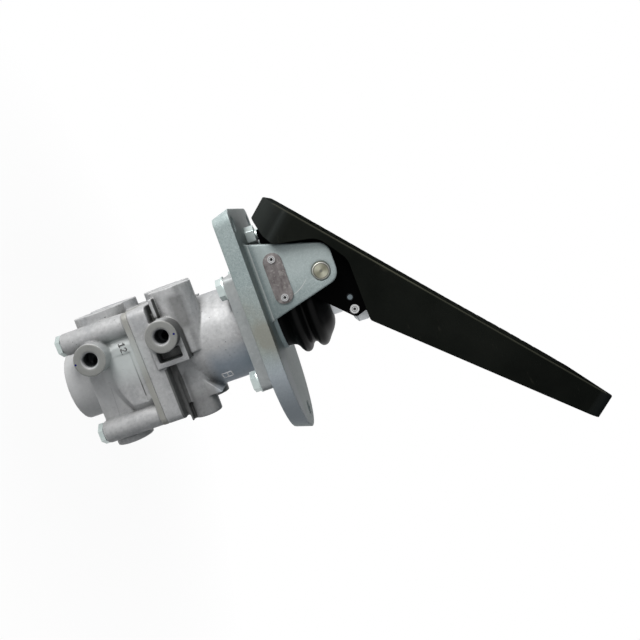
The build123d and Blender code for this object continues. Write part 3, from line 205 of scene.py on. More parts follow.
def castAluminium():
    # die cast skin: satin grey, soft flow marks and water stains, small pits; painted highlights on its
    # edges, painted shade in its corners and recesses
    look = {"pale": grey(0.56, 0.006), "dull": grey(0.385, 0.0, 0.01), "stain": (0.30, 0.32, 0.35, 1),
            "pit": grey(0.10), "edge": grey(0.74), "grime": (0.050, 0.050, 0.046, 1),
            "joint": (0.29, 0.28, 0.23, 1), "cool": (0.34, 0.43, 0.53, 1), "flange": (0.30, 0.335, 0.33, 1),
            "patch": (0.64, 0.68, 0.665, 1), "ink": (0.008, 0.010, 0.16, 1), "bore": (0.016, 0.019, 0.020, 1),
            "rough": 0.42, "metal": 0.12}
    f = Finish("castAluminium")
    x, y, z = f.xyz()
    cloud = f.noise(38.0, 4.0, 0.55)
    flow = f.noise(24.0, 5.0, 0.6, f.stretched((1.0, 1.0, 3.2)))
    stain = f.noise(15.0, 5.0, 0.6)
    grain = f.noise(1500.0, 2.0, 0.5)
    skin = f.noise(420.0, 3.0, 0.6)
    pits = f.cells(300.0)
    pitMask = pits.below(0.11, 0.05) * f.noise(70.0, 2.0).above(0.60, 0.05)
    tone = (cloud * 0.55 + flow * 0.45).above(0.5, 0.30)
    colour = f.mix(tone, look["dull"], look["pale"])
    colour = f.mix(stain.above(0.60, 0.10) * 0.45, colour, look["stain"])
    colour = f.mix(skin.above(0.60, 0.14) * 0.26, colour, grey(0.68))
    colour = f.mix(skin.below(0.40, 0.12) * 0.22, colour, grey(0.22))
    colour = f.mix(pitMask * 0.75, colour, look["pit"])
    # painted highlights on the edges, and painted shade in the corners and in the recesses
    bend = f.corners()
    colour = f.mix(bend.above(0.545, 0.05) * 0.50, colour, look["edge"])
    colour = f.mix(bend.below(0.470, 0.05) * 0.72, colour, look["grime"])
    colour = f.mix(f.openness(9).below(0.46, 0.52) * 0.92, colour, look["grime"])
    place = {"x": x, "y": y, "z": z}
    lightPlaces = {name: region(place, box) for name, box in housingLight.items()}
    # painted shade on the toe flank's upward faces, in the groove, on the low toe and on the heel boss
    flank = f.upwards().above(0.45, 0.35) * lightPlaces["toeFlank"]
    dark = (flank * 0.78).most(lightPlaces["groove"] * 0.76).most(lightPlaces["lowToe"] * 0.42)
    colour = f.mix(dark.most(lightPlaces["heelBoss"] * 0.55), colour, look["grime"])
    # painted light: the drum and its shoulder made paler
    reach = {"radius": (x * x + y * y).maths("SQRT"), "z": z}
    drum = region(reach, {"radius": (None, 0) + drumLight["radius"], "z": (None, 0) + drumLight["top"]})
    colour = f.mix(drum * 0.5, colour, grey(0.68))
    # painted shade: the barrel's low side tinted blue-grey
    colour = f.mix(lightPlaces["barrelLow"] * 0.55, colour, look["cool"])
    # painted shade: the flange's top made darker
    colour = f.mix(lightPlaces["flangeTop"] * 0.45, colour, look["flange"])
    # straw-coloured rough edge of the joint flange, the mould's parting line by the rear test port, and the
    # painted shade line of the panel's groove
    marks = {name: region(place, box) for name, box in housingMarksAndShade.items()}
    colour = f.mix(marks["jointFlange"] * (0.35 + 0.4 * skin), colour, look["joint"])
    for name, share in (("partingLine", 0.32), ("panelGroove", 0.75)):
        level, slope, half, soft = housingLines[name]
        line = (z + x * slope - level * mm).maths("ABSOLUTE").below(half * mm, soft * mm)
        colour = f.mix(line * marks[name] * share, colour, look["grime"])
    # painted light: a paler patch round the port number
    reach = {"radius": dotPlace(x, z, *numberLight["centre"]), "y": y}
    patch = region(reach, {"radius": (None, 0) + numberLight["radius"], "y": (None, 0) + numberLight["near"]})
    colour = f.mix(patch * 0.8, colour, look["patch"])
    # machined faces: the ends of the ports and of the two test ports
    port = x.below(portEnds["heel"] * mm, 0.2 * mm)
    near = y.below(portEnds["near"] * mm, 0.2 * mm)
    machined = port.most(near)
    lines = f.noise(1.0, 2.0, 0.5, f.stretched((260.0, 260.0, 2600.0)))
    colour = f.mix(port * 0.8, colour, f.mix(lines, grey(0.50), grey(0.62)))
    # the test ports' faces take a darker copy of the same turned tone, as painted shade
    colour = f.mix(near * 0.85, colour, f.mix(lines, (0.22, 0.22, 0.205, 1), (0.34, 0.34, 0.32, 1)))
    # a small blue dot on each test port, as in the photo
    for dotX, dotZ in inkDots:
        away = dotPlace(x, z, dotX, dotZ)
        colour = f.mix(away.below(0.75 * mm, 0.3 * mm) * machined, colour, look["ink"])
    # painted shade: the bores are dark below their first threads
    for (mouthX, mouthY, mouthZ), inward, core, depth, _ in ports.values():
        if inward[0]:
            away, deep = dotPlace(y, z, mouthY, mouthZ), x - (mouthX + 1.6) * mm
        else:
            away, deep = dotPlace(x, z, mouthX, mouthZ), y - (mouthY + 1.4) * mm
        inside = (away.below((core + 0.45) * mm, 0.2 * mm) * deep.above(1.0 * mm, 2.4 * mm)
                  * deep.below((depth + 4.0) * mm, 0.5 * mm))
        colour = f.mix(inside * 0.93, colour, look["bore"])
    rough = look["rough"] + 0.14 * (cloud - 0.5) - 0.08 * machined + 0.1 * pitMask
    height = grain * 0.3 + skin * 0.5 + cloud * 1.0 - pitMask * 2.0
    normal = f.bump(height * (1.0 - 0.85 * machined), 0.48, 0.25 * mm)
    return f.surface(Base_Color=colour, Metallic=look["metal"], Roughness=rough,
                     Specular_IOR_Level=0.06, Normal=normal)


scratch = {"centre": (-37.1, 26.3), "radius": 23.1, "part": {"z": (31.5, 2.0, 43.5, 2.0)}}  # x and z in mm
# the near rim's grey-brown rub below the ears, the near ear's outer face, and a painted highlight line and a
# painted shade line at its foot
bracketMarksAndLight = {
    "rub": {"y": (None, 0, -45.0, 6.0), "x": (-24.0, 18.0, 18.0, 18.0), "z": (None, 0, 12.5, 1.0)},
    "earFace": {"y": (None, 0, -37.0, 0.5)},
    "footPale": {"z": (13.9, 0.2, 14.7, 0.2)},
    "footDark": {"z": (14.8, 0.2, 16.6, 1.6)},
}
# tones of the photo's light, set by place: the rim's bluer toe end, the plate's top, the ear's run of tone
bracketLight = {
    "rimBlue": {"y": (None, 0, -30.0, 10.0), "x": (22.0, 18.0, None, 0), "z": (None, 0, 12.5, 1.0)},
    "plateTop": {"z": (None, 0, 20.0, 1.0)},
    "earPale": {"z": (17.0, 4.0, None, 0), "x": (None, 0, -22.0, 16.0)},
    "earDark": {"z": (17.0, 4.0, 40.0, 12.0), "x": (-14.0, 14.0, None, 0)},
}


def bracketCoat():
    # coat on the rough casting, taken for zinc flake: blue-green grey, close flecks whose pale ones are
    # painted sparkle, soft dimples
    look = {"base": (0.355, 0.415, 0.410, 1), "spark": (0.56, 0.62, 0.61, 1), "deep": (0.20, 0.245, 0.25, 1),
            "rubbed": (0.66, 0.68, 0.65, 1), "corner": (0.05, 0.065, 0.065, 1),
            "rub": (0.30, 0.285, 0.235, 1), "rimBlue": (0.46, 0.485, 0.54, 1), "top": (0.07, 0.09, 0.085, 1)}
    f = Finish("bracketCoat")
    fleckTone = f.add("ShaderNodeSeparateColor", {}, {0: f.cells(1700.0, output=1)}, output=0)
    cloud = f.noise(30.0, 4.0, 0.6)
    grain = f.noise(520.0, 4.0, 0.65)
    colour = f.mix(fleckTone.above(0.80, 0.2) * 0.38, look["base"], look["spark"])
    colour = f.mix(fleckTone.below(0.20, 0.2) * 0.34, colour, look["deep"])
    colour = f.mix(grain.above(0.60, 0.12) * 0.25, colour, look["spark"])
    colour = f.mix(cloud.above(0.58, 0.3) * 0.35, colour, look["deep"])
    # painted highlights on the edges, painted shade in the corners and recesses
    bend = f.corners()
    colour = f.mix(bend.above(0.56, 0.06) * 0.45, colour, look["rubbed"])
    colour = f.mix(bend.below(0.465, 0.05) * 0.45, colour, grey(0.12))
    colour = f.mix(f.openness(10).below(0.46, 0.6) * 0.80, colour, look["corner"])
    x, y, z = f.xyz()
    place = {"x": x, "y": y, "z": z}
    marks = {name: region(place, box) for name, box in bracketMarksAndLight.items()}
    light = {name: region(place, box) for name, box in bracketLight.items()}
    ear = marks["earFace"]
    colour = f.mix(marks["rub"] * cloud.above(0.40, 0.3) * 0.75, colour, look["rub"])
    # painted light and shade: the rim's bluer toe end, the plate's darker top, the ear's paler and darker
    # runs
    colour = f.mix(light["rimBlue"] * 0.6, colour, look["rimBlue"])
    top = f.upwards().above(0.80, 0.15) * light["plateTop"]
    colour = f.mix(top * 0.40, colour, look["top"])
    colour = f.mix(ear * light["earPale"] * 0.45, colour, look["spark"])
    colour = f.mix(ear * light["earDark"] * 0.50, colour, look["deep"])
    # painted highlight and painted shade along the ear's foot
    colour = f.mix(ear * marks["footPale"] * 0.55, colour, look["rubbed"])
    colour = f.mix(ear * marks["footDark"] * 0.40, colour, look["deep"])
    # one curved scratch on the near ear, from the nameplate towards the pin
    arc = dotPlace(x, z, *scratch["centre"]) - scratch["radius"] * mm
    arc = arc.maths("ABSOLUTE").below(0.16 * mm, 0.14 * mm) * region({"z": z}, scratch["part"])
    colour = f.mix(arc * ear * x.above(-26.0 * mm, 1.0 * mm) * 0.75, colour, grey(0.74, 0.03))
    rough = 0.42 + 0.2 * (grain - 0.5)
    normal = f.bump(grain * 0.7 + f.noise(180.0, 3.0) * 0.9, 0.5, 0.25 * mm)
    return f.surface(Base_Color=colour, Metallic=0.12, Roughness=rough,
                     Specular_IOR_Level=0.04, Normal=normal)


def zincBolt():
    f = Finish("zincBolt")
    cloud = f.noise(160.0, 3.0)
    fine = f.noise(900.0, 2.0)
    colour = f.mix(cloud, (0.46, 0.54, 0.53, 1), (0.72, 0.78, 0.76, 1))
    normal = f.bump(fine, 0.15, 0.1 * mm)
    return f.surface(Base_Color=colour, Metallic=0.55, Roughness=0.24 + 0.14 * cloud,
                     Specular_IOR_Level=0.10, Normal=normal)


pinPlace = (-23.7, 54.8)  # x and z in mm


def turnedPin():
    # turned end face: rings about the pin's axis, pale straw grey with streaks of rubbing across, and two
    # pale fans of painted sheen by the angle round the axis
    f = Finish("turnedPin")
    x, y, z = f.xyz()
    dx, dz = x - pinPlace[0] * mm, z - pinPlace[1] * mm
    radius = (dx * dx + dz * dz).maths("SQRT")
    rings = (radius * (2 * pi / (0.55 * mm))).maths("SINE") * 0.5 + 0.5
    rub = f.noise(1.0, 3.0, 0.6, f.stretched((120.0, 120.0, 900.0), (0, 0.6, 0)))
    turn = dz.maths("ARCTAN2", dx)
    sheen = ((turn * 2.0 + 0.6).maths("SINE") * 0.5 + 0.5) * radius.above(0.9 * mm, 1.2 * mm)
    tone = rings * 0.3 + rub * 0.2 + sheen * 0.6 - 0.05
    colour = f.mix(tone, (0.13, 0.125, 0.085, 1), (0.56, 0.55, 0.44, 1))
    turned = {"radius": radius}
    # a dark ring, and near the rim a pale ring of painted highlight
    colour = f.mix(region(turned, {"radius": (4.6, 0.25, 5.2, 0.25)}) * 0.75, colour, grey(0.07, 0.05))
    colour = f.mix(region(turned, {"radius": (5.3, 0.2, 5.9, 0.2)}) * 0.5, colour, grey(0.66))
    colour = f.mix(radius.below(1.0 * mm, 0.3 * mm) * 0.5, colour, grey(0.12))
    normal = f.bump(rings, 0.25, 0.08 * mm)
    return f.surface(Base_Color=colour, Metallic=0.35, Roughness=0.30 + 0.12 * rings,
                     Specular_IOR_Level=0.05, Normal=normal)


def plainSteel(name, low, high, rough):
    f = Finish(name)
    cloud = f.noise(220.0, 3.0)
    normal = f.bump(f.noise(1200.0, 2.0), 0.12, 0.08 * mm)
    return f.surface(Base_Color=f.mix(cloud, low, high), Metallic=0.85,
                     Roughness=rough + 0.12 * cloud, Normal=normal)


rivetHoles = [(-41.6, 26.4, 0.95), (-15.0, 26.4, 0.95), (8.8, 67.5, 0.95)]  # x, z and hole radius in mm


def rivetSteel():
    # bright rivet heads; the mandrel holes in their middles are painted black as shade, with a dark ring
    # round each
    f = Finish("rivetSteel")
    x, y, z = f.xyz()
    cloud = f.noise(260.0, 3.0)
    colour = f.mix(cloud, grey(0.52), grey(0.72))
    for atX, atZ, hole in rivetHoles:
        away = dotPlace(x, z, atX, atZ)
        colour = f.mix(away.below(hole * mm, 0.25 * mm), colour, grey(0.012))
        ring = away.below((hole + 1.05) * mm, 0.12 * mm) * away.above((hole + 0.65) * mm, 0.12 * mm)
        colour = f.mix(ring * 0.85, colour, grey(0.06))
    normal = f.bump(f.noise(1200.0, 2.0), 0.10, 0.08 * mm)
    return f.surface(Base_Color=colour, Metallic=0.45, Roughness=0.18 + 0.12 * cloud, Normal=normal)


treadleHeel, treadleTilt = (-82.2, 34.75), 41.15  # heel of its top face: x and z in mm; degrees
heelSheen = 17.0  # mm from the treadle's heel, the photo's light on the rounded corner
# worn places on its near side: x, z, size in mm, share
wornSpots = [(-14.2, 97.0, 4.0, 0.45), (-68.0, 44.4, 0.8, 1.0), (-71.0, 41.0, 2.0, 0.2)]


def blackPlastic():
    # near black moulded plastic with a fine matt skin, dusty and scuffed in soft patches
    look = {"black": (0.0075, 0.0085, 0.0072, 1), "dusty": (0.0165, 0.0180, 0.0150, 1),
            "worn": (0.050, 0.048, 0.036, 1), "edge": (0.075, 0.075, 0.055, 1),
            "heel": (0.036, 0.040, 0.038, 1), "rough": 0.50}
    tilt = radians(treadleTilt)
    f = Finish("blackPlastic")
    grain = f.noise(1100.0, 3.0, 0.6)
    cloud = f.noise(16.0, 5.0, 0.6)
    scuff = f.noise(1.0, 5.0, 0.65, f.stretched((60.0, 60.0, 210.0), (0, tilt, 0)))
    colour = f.mix(cloud.above(0.52, 0.4), look["black"], look["dusty"])
    colour = f.mix(scuff.above(0.66, 0.06) * 0.25, colour, look["worn"])
    x, y, z = f.xyz()
    for atX, atZ, size, share in wornSpots:
        away = dotPlace(x, z, atX, atZ)
        spot = away.below(size * mm, 0.9 * size * mm) * (0.4 + 0.6 * scuff.above(0.45, 0.25))
        spot = spot * y.below(-41.0 * mm, 0.6 * mm)
        colour = f.mix(spot * share, colour, look["worn"])
    normal = f.bump(grain, 0.35, 0.10 * mm)
    # along is the way up the treadle from its heel, and drop the depth below its top face; the pale
    # band at the heel's corner and the paler ends are the photo's light, set by place
    up, side = x - treadleHeel[0] * mm, z - treadleHeel[1] * mm
    along, drop = up * cos(tilt) + side * sin(tilt), up * sin(tilt) - side * cos(tilt)
    corner = (along - heelSheen * mm).maths("ABSOLUTE").below(2.0 * mm, 5.0 * mm)
    corner = corner * y.maths("ABSOLUTE").above(41.0 * mm, 0.6 * mm)
    ends = (along.below(18.0 * mm, 14.0 * mm) * 0.55).most(along.above(262.0 * mm, 6.0 * mm) * 0.7)
    colour = f.mix(ends.most(corner * 0.95), colour, look["heel"])
    # painted highlight along the top edges of the sides, patchy with the scuffs and strongest about 100 mm up
    # from the heel
    rubbed = y.maths("ABSOLUTE").above(42.2 * mm, 0.5 * mm) * drop.below(0.9 * mm, 0.7 * mm)
    midStretch = (along - 100.0 * mm).maths("ABSOLUTE").below(22.0 * mm, 30.0 * mm)
    colour = f.mix(rubbed * (0.35 + 0.6 * scuff + 0.4 * midStretch), colour, look["edge"])
    return f.surface(Base_Color=colour, Roughness=look["rough"] + 0.14 * (cloud - 0.5) + 0.06 * grain,
                     Specular_IOR_Level=0.0, Normal=normal)


def armPaint():
    f = Finish("armPaint")
    cloud = f.noise(30.0, 3.0)
    colour = f.mix(cloud, (0.0010, 0.0010, 0.0010, 1), (0.0022, 0.0022, 0.0022, 1))
    normal = f.bump(f.noise(350.0, 3.0), 0.08, 0.1 * mm)
    return f.surface(Base_Color=colour, Roughness=0.40 + 0.12 * cloud, Specular_IOR_Level=0.01, Normal=normal)


def bootRubber():
    f = Finish("bootRubber")
    cloud = f.noise(60.0, 4.0)
    bloom = f.noise(24.0, 3.0)
    colour = f.mix(bloom.above(0.55, 0.4), (0.0020, 0.0020, 0.0021, 1), (0.0052, 0.0054, 0.0056, 1))
    normal = f.bump(f.noise(700.0, 3.0), 0.15, 0.1 * mm)
    return f.surface(Base_Color=colour, Roughness=0.30 + 0.16 * cloud, Specular_IOR_Level=0.08, Normal=normal)


def palePlastic():
    f = Finish("palePlastic")
    cloud = f.noise(80.0, 3.0)
    colour = f.mix(cloud, (0.80, 0.83, 0.86, 1), (0.90, 0.92, 0.93, 1))
    normal = f.bump(f.noise(800.0, 2.0), 0.15, 0.1 * mm)
    # the share of metal only lets it catch the white surroundings
    return f.surface(Base_Color=colour, Metallic=0.42, Roughness=0.42 + 0.1 * cloud, Normal=normal)


def darkPlastic():
    f = Finish("darkPlastic")
    cloud = f.noise(90.0, 3.0)
    colour = f.mix(cloud, grey(0.03), grey(0.06))
    return f.surface(Base_Color=colour, Roughness=0.5 + 0.1 * cloud,
                     Normal=f.bump(f.noise(900.0), 0.2, 0.1 * mm))


def plateMetal():
    # bare nameplate: pinkish grey sheet with faint rubbed marks and no words
    f = Finish("plateMetal")
    rub = f.noise(1.0, 4.0, 0.6, f.stretched((90.0, 90.0, 420.0)))
    cloud = f.noise(140.0, 4.0, 0.6)
    blot = f.noise(420.0, 3.0, 0.7)
    tone = (rub * 0.4 + cloud * 0.6).above(0.5, 0.3)
    colour = f.mix(tone, (0.130, 0.114, 0.112, 1), (0.31, 0.285, 0.28, 1))
    colour = f.mix(blot.above(0.58, 0.10) * 0.45, colour, (0.42, 0.40, 0.38, 1))
    normal = f.bump(cloud, 0.2, 0.12 * mm)
    return f.surface(Base_Color=colour, Metallic=0.30, Roughness=0.40 + 0.2 * cloud,
                     Specular_IOR_Level=0.05, Normal=normal)


finishes = {
    "housing_casting": castAluminium(),
    "bracket_casting": bracketCoat(),
    "pin_steel": turnedPin(),
    "zinc_bolt": zincBolt(),
    "bright_rivet": rivetSteel(),
    "bronze": plainSteel("bronze", (0.32, 0.22, 0.10, 1), (0.50, 0.36, 0.18, 1), 0.35),
    "spring_steel": plainSteel("springSteel", (0.22, 0.22, 0.23, 1), (0.42, 0.42, 0.43, 1), 0.3),
    "black_plastic": blackPlastic(),
    "black_arm": armPaint(),
    "black_rubber": bootRubber(),
    "dark_plastic": darkPlastic(),
    "pale_plastic": palePlastic(),
    "plate_metal": plateMetal(),
}


axlePlace = (0.2, 67.1)  # x and z in mm


def axleEnd():
    # blue-grey turned end of the roller's axle, with painted black shade in the gap round it
    f = Finish("axleEnd")
    x, y, z = f.xyz()
    away = dotPlace(x, z, *axlePlace)
    colour = f.mix(f.noise(300.0, 2.0), (0.16, 0.20, 0.22, 1), (0.26, 0.30, 0.32, 1))
    colour = f.mix(away.above(1.75 * mm, 0.35 * mm), colour, (0.010, 0.011, 0.012, 1))
    return f.surface(Base_Color=colour, Metallic=0.2, Roughness=0.4, Specular_IOR_Level=0.1)


# finishes of single pieces, in place of the one their slot has
plainFinish = {"roller_axle": axleEnd(),
               # the port number's strokes are painted dark as the shade of their relief
               "portNumber": plainSteel("numberRelief", grey(0.12), grey(0.20), 0.5),
               "castFrame": plainSteel("frameRelief", grey(0.50), grey(0.64), 0.5),
               "boot_collar": plainSteel("collarSteel", (0.20, 0.25, 0.26, 1), (0.34, 0.40, 0.41, 1), 0.34),
               "roller": plainSteel("rollerSteel", (0.30, 0.30, 0.29, 1), (0.44, 0.44, 0.43, 1), 0.28),
               "plunger_disc": plainSteel("discSteel", (0.30, 0.30, 0.29, 1), (0.44, 0.44, 0.43, 1), 0.34)}
for name, node in cadNodes.items():
    node.data.materials.clear()
    node.data.materials.append(plainFinish.get(name, finishes[slotOf[name]]))
print("finishes:", len(finishes))


def shown(name, mesh, slot, body, stands=(), finish=None):
    # one finished piece: its finish, the body it rides on and the CAD nodes it stands for
    piece = bpy.data.objects.new(name, mesh)
    bpy.context.scene.collection.objects.link(piece)
    mesh.materials.clear()
    mesh.materials.append(finish or finishes[slot])
    mesh.polygons.foreach_set("use_smooth", np.ones(len(mesh.polygons), bool))
    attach(piece, body)
    if stands:
        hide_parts(*stands)
    return piece


def gridFaces(rows, columns, ringRows):
    # every cell of a grid as a four-sided face; columns go round, and ringed rows join last to first
    r = np.arange(rows if ringRows else rows - 1)[:, None]
    c = np.arange(columns)[None, :]
    below, right = (r + 1) % rows, (c + 1) % columns
    corners = [r * columns + c, r * columns + right, below * columns + right, below * columns + c]
    return np.stack(np.broadcast_arrays(*corners), axis=-1).reshape(-1, 4)


def gridMesh(name, points, ringRows=False):
    # a mesh from a grid of points, turned so that its faces look outwards
    rows, columns = points.shape[:2]
    mesh = bpy.data.meshes.new(name)
    faces = gridFaces(rows, columns, ringRows)
    mesh.from_pydata(points.reshape(-1, 3).tolist(), [], faces.tolist())
    work = bmesh.new()
    work.from_mesh(mesh)
    bmesh.ops.recalc_face_normals(work, faces=work.faces)
    work.to_mesh(mesh)
    work.free()
    return mesh


def eased(corners, passes, closed=True):
    # corner cutting: each pass puts two points on every run, at a quarter and at three quarters of it
    line = np.asarray(corners, float)
    for _ in range(passes):
        after = np.roll(line, -1, axis=0) if closed else line[1:]
        before = line if closed else line[:-1]
        pairs = np.stack([0.75 * before + 0.25 * after, 0.25 * before + 0.75 * after], axis=1)
        line = pairs.reshape(-1, line.shape[1])
    return line


def turnedGrid(profile, steps):
    # a closed profile of radius and height carried round the vertical axis
    angle = np.linspace(0, 2 * pi, steps, endpoint=False)
    radius, height = profile[:, :1], profile[:, 1:]
    return np.stack([radius * np.cos(angle), radius * np.sin(angle), height + 0 * angle], axis=-1)


rubberBoot = {"wall": 1.7, "steps": 144, "outer": [
    (22.3, 12.02), (22.6, 15.0), (22.8, 18.6), (24.6, 21.6), (28.6, 23.4), (30.9, 25.2), (31.4, 27.8),
    (30.0, 30.2), (26.6, 32.0), (25.6, 33.6), (26.4, 35.2), (29.0, 36.4), (30.6, 38.2), (30.6, 41.0),
    (28.6, 43.4), (25.4, 45.6), (21.8, 48.8), (18.2, 51.0), (14.6, 52.1), (12.35, 52.2)]}


def makeBoot(look):
    # bellows: the outer line goes up the folds, the inner one comes back down a wall's thickness inside
    outer = np.array(look["outer"])
    inner = outer[::-1] - [look["wall"], 0.0]
    inner[:, 1] = np.clip(inner[:, 1], 12.02, 50.6)
    inner[:, 0] = np.maximum(inner[:, 0], 12.35)
    profile = eased(np.vstack([outer, inner]), 3) * mm
    piece = shown("rubberBellows", gridMesh("rubberBellows", turnedGrid(profile, look["steps"]), True),
                  "black_rubber", "valve_body", ["boot"])
    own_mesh(piece)


makeBoot(rubberBoot)

# coil springs: mean radius, wire radius, turns, top and foot in mm, body, share kept, fixed end
springs = {
    "graduating_spring": {"mean": 15.5, "wire": 1.2, "turns": 3.5, "top": -12.0, "foot": -26.0,
                          "body": "reaction_piston_body", "fixed": -26.0, "keep": 0.607},
    "reaction_return_spring": {"mean": 19.0, "wire": 1.0, "turns": 3.5, "top": -34.0, "foot": -44.0,
                               "body": "valve_body", "fixed": -44.0, "keep": 0.75},
    "relay_return_spring": {"mean": 20.0, "wire": 0.9, "turns": 3.0, "top": -88.0, "foot": -96.0,
                            "body": "valve_body", "fixed": -96.0, "keep": 0.6875},
    "upper_valve_spring": {"mean": 10.0, "wire": 0.8, "turns": 3.0, "top": -54.0, "foot": -62.0,
                           "body": "valve_body", "fixed": -62.0, "keep": 0.78},
    "lower_valve_spring": {"mean": 10.0, "wire": 0.8, "turns": 3.0, "top": -106.0, "foot": -114.0,
                           "body": "valve_body", "fixed": -114.0, "keep": 0.78},
}


def makeSpring(node, size, sides=12, around=48):
    # a round wire along a helix whose rise is gentle at both ends: height goes as turn minus its sine
    count = int(size["turns"] * around)
    share = np.linspace(0, 1, count)
    lift = share - 0.75 * np.sin(2 * pi * share) / (2 * pi)
    turn = 2 * pi * size["turns"] * share
    low, high = size["foot"] + size["wire"] + 0.15, size["top"] - size["wire"] - 0.15
    outward = np.stack([np.cos(turn), np.sin(turn), 0 * turn], axis=-1)
    middle = size["mean"] * outward + np.stack([0 * turn, 0 * turn, low + (high - low) * lift], axis=-1)
    along = np.gradient(middle, axis=0)
    along /= np.linalg.norm(along, axis=1, keepdims=True)
    over = np.cross(along, outward)
    angle = np.linspace(0, 2 * pi, sides, endpoint=False)[None, :, None]
    wire = np.full(count, size["wire"])
    wire[0] = wire[-1] = 0.02
    ring = outward[:, None] * np.cos(angle) + over[:, None] * np.sin(angle)
    points = middle[:, None] + wire[:, None, None] * ring
    piece = shown(node + "Coil", gridMesh(node + "Coil", points * mm), "spring_steel", size["body"], [node])
    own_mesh(piece)


for node, size in springs.items():
    makeSpring(node, size)
print("boot and springs made")


def makeThread(name, mouth, inward, core, depth, pitch, around=72):
    # a thin sleeve in the bore: the ridge on its inner wall goes one pitch deeper with every turn
    start, rows = 1.5, int(depth / pitch * 8)
    deep = np.linspace(start, start + depth, rows)[:, None]
    angle = np.linspace(0, 2 * pi, around, endpoint=False)[None, :]
    phase = (deep / pitch - angle / (2 * pi)) % 1.0
    ridge = np.clip(1.7 - 3.4 * np.abs(phase - 0.5), 0.0, 1.0)
    fade = np.clip(np.minimum(deep - start, start + depth - deep) / 0.8, 0, 1)
    inner = core + 0.02 - 0.42 * ridge * fade
    outer = np.full_like(inner, core + 0.35)
    radius = np.vstack([inner, outer[::-1]])
    place = np.vstack([np.broadcast_to(deep, inner.shape), np.broadcast_to(deep, inner.shape)[::-1]])
    axis = np.array(inward, float)
    side = np.array([0.0, 0.0, 1.0])
    other = np.cross(axis, side)
    points = (np.array(mouth) + place[..., None] * axis
              + (radius * np.cos(angle))[..., None] * side + (radius * np.sin(angle))[..., None] * other)
    shown(name + "Thread", gridMesh(name + "Thread", points * mm, True), "housing_casting", "valve_body")


for name, port in ports.items():
    makeThread(name, *port)
print("port threads made")

# raised port number by the rear test port: strokes on a unit grid, x along the row and y up
portNumber = {"height": 4.1, "left": -22.4, "foot": -90.1, "face": -38.0, "stroke": 0.40,
              "finish": plainFinish["portNumber"], "strokes": [
    [(0.10, 0.74), (0.36, 1.00), (0.36, 0.00)],
    [(0.08, 0.0), (0.64, 0.0)],
    [(0.92, 0.74), (0.98, 0.90), (1.15, 1.0), (1.34, 0.98), (1.46, 0.84), (1.45, 0.66), (1.30, 0.46),
     (1.10, 0.24), (0.92, 0.0), (1.52, 0.0)],
    [(1.78, 0.0), (1.80, 0.06)],
]}
# small empty frame cast on the barrel below the flange: rows run round the barrel
castFrame = {"height": 1.0, "left": 24.6, "foot": -34.4, "barrel": 33.0, "stroke": 0.42,
             "finish": plainFinish["castFrame"], "strokes": [
    [(0.0, 0.0), (5.4, 0.0)], [(5.4, 0.0), (5.4, 6.8)], [(5.4, 6.8), (0.0, 6.8)],
    [(0.0, 6.8), (0.0, 0.0)], [(0.0, 3.6), (5.4, 3.6)],
]}


def makeStroke(name, stroke, look):
    # a round bead along the stroke, its ends closed to a point, half sunk in the face; where the
    # look has a barrel radius, the distance along the row is wound round the barrel as an arc
    line = np.array(stroke) * look["height"]
    path = np.vstack([line[:1], eased(line, 2, closed=False), line[-1:]]) if len(line) > 4 else line
    along = np.gradient(path, axis=0)
    along /= np.linalg.norm(along, axis=1, keepdims=True) + 1e-9
    across = np.stack([along[:, 1], -along[:, 0]], axis=-1)
    path = np.vstack([path[:1] - 0.3 * along[:1], path, path[-1:] + 0.3 * along[-1:]])
    across = np.vstack([across[:1], across, across[-1:]])
    width = np.full(len(path), look["stroke"])
    width[0] = width[-1] = 0.03
    angle = np.linspace(0, 2 * pi, 10, endpoint=False)[None, :]
    flat = path[:, None, :] + (width[:, None] * np.cos(angle))[..., None] * across[:, None, :]
    rise = 0.9 * width[:, None] * np.sin(angle)
    if "barrel" in look:
        turn, out = (look["left"] + flat[..., 0]) / look["barrel"], look["barrel"] + rise
        points = np.stack([out * np.sin(turn), -out * np.cos(turn), look["foot"] + flat[..., 1]], axis=-1)
    else:
        points = np.stack([look["left"] + flat[..., 0], look["face"] - rise,
                           look["foot"] + flat[..., 1]], axis=-1)
    shown(name, gridMesh(name, points * mm), "housing_casting", "valve_body", finish=look["finish"])


for name, look in (("portNumber", portNumber), ("castFrame", castFrame)):
    for index, stroke in enumerate(look["strokes"]):
        makeStroke(name + str(index), stroke, look)
print("port number and cast frame made")


def skinOf(name):
    # a CAD node's loose triangles as one welded mesh in a new object
    mesh = cadNodes[name].data.copy()
    mesh.name = name + "Skin"
    piece = bpy.data.objects.new(name + "Work", mesh)
    bpy.context.scene.collection.objects.link(piece)
    work = bmesh.new()
    work.from_mesh(mesh)
    bmesh.ops.remove_doubles(work, verts=work.verts, dist=0.004 * mm)
    bmesh.ops.dissolve_limit(work, angle_limit=radians(0.4), verts=work.verts, edges=work.edges)
    work.to_mesh(mesh)
    work.free()
    return piece


def finishedFrom(work, name, slot, body, node):
    # the modifiers of the working object made real, and the working object dropped
    bpy.context.view_layer.update()
    solid = work.evaluated_get(bpy.context.evaluated_depsgraph_get())
    mesh = bpy.data.meshes.new_from_object(solid)
    bpy.data.objects.remove(work)
    shown(name, mesh, slot, body, [node], plainFinish.get(node))
    print(name, len(mesh.polygons), "faces")


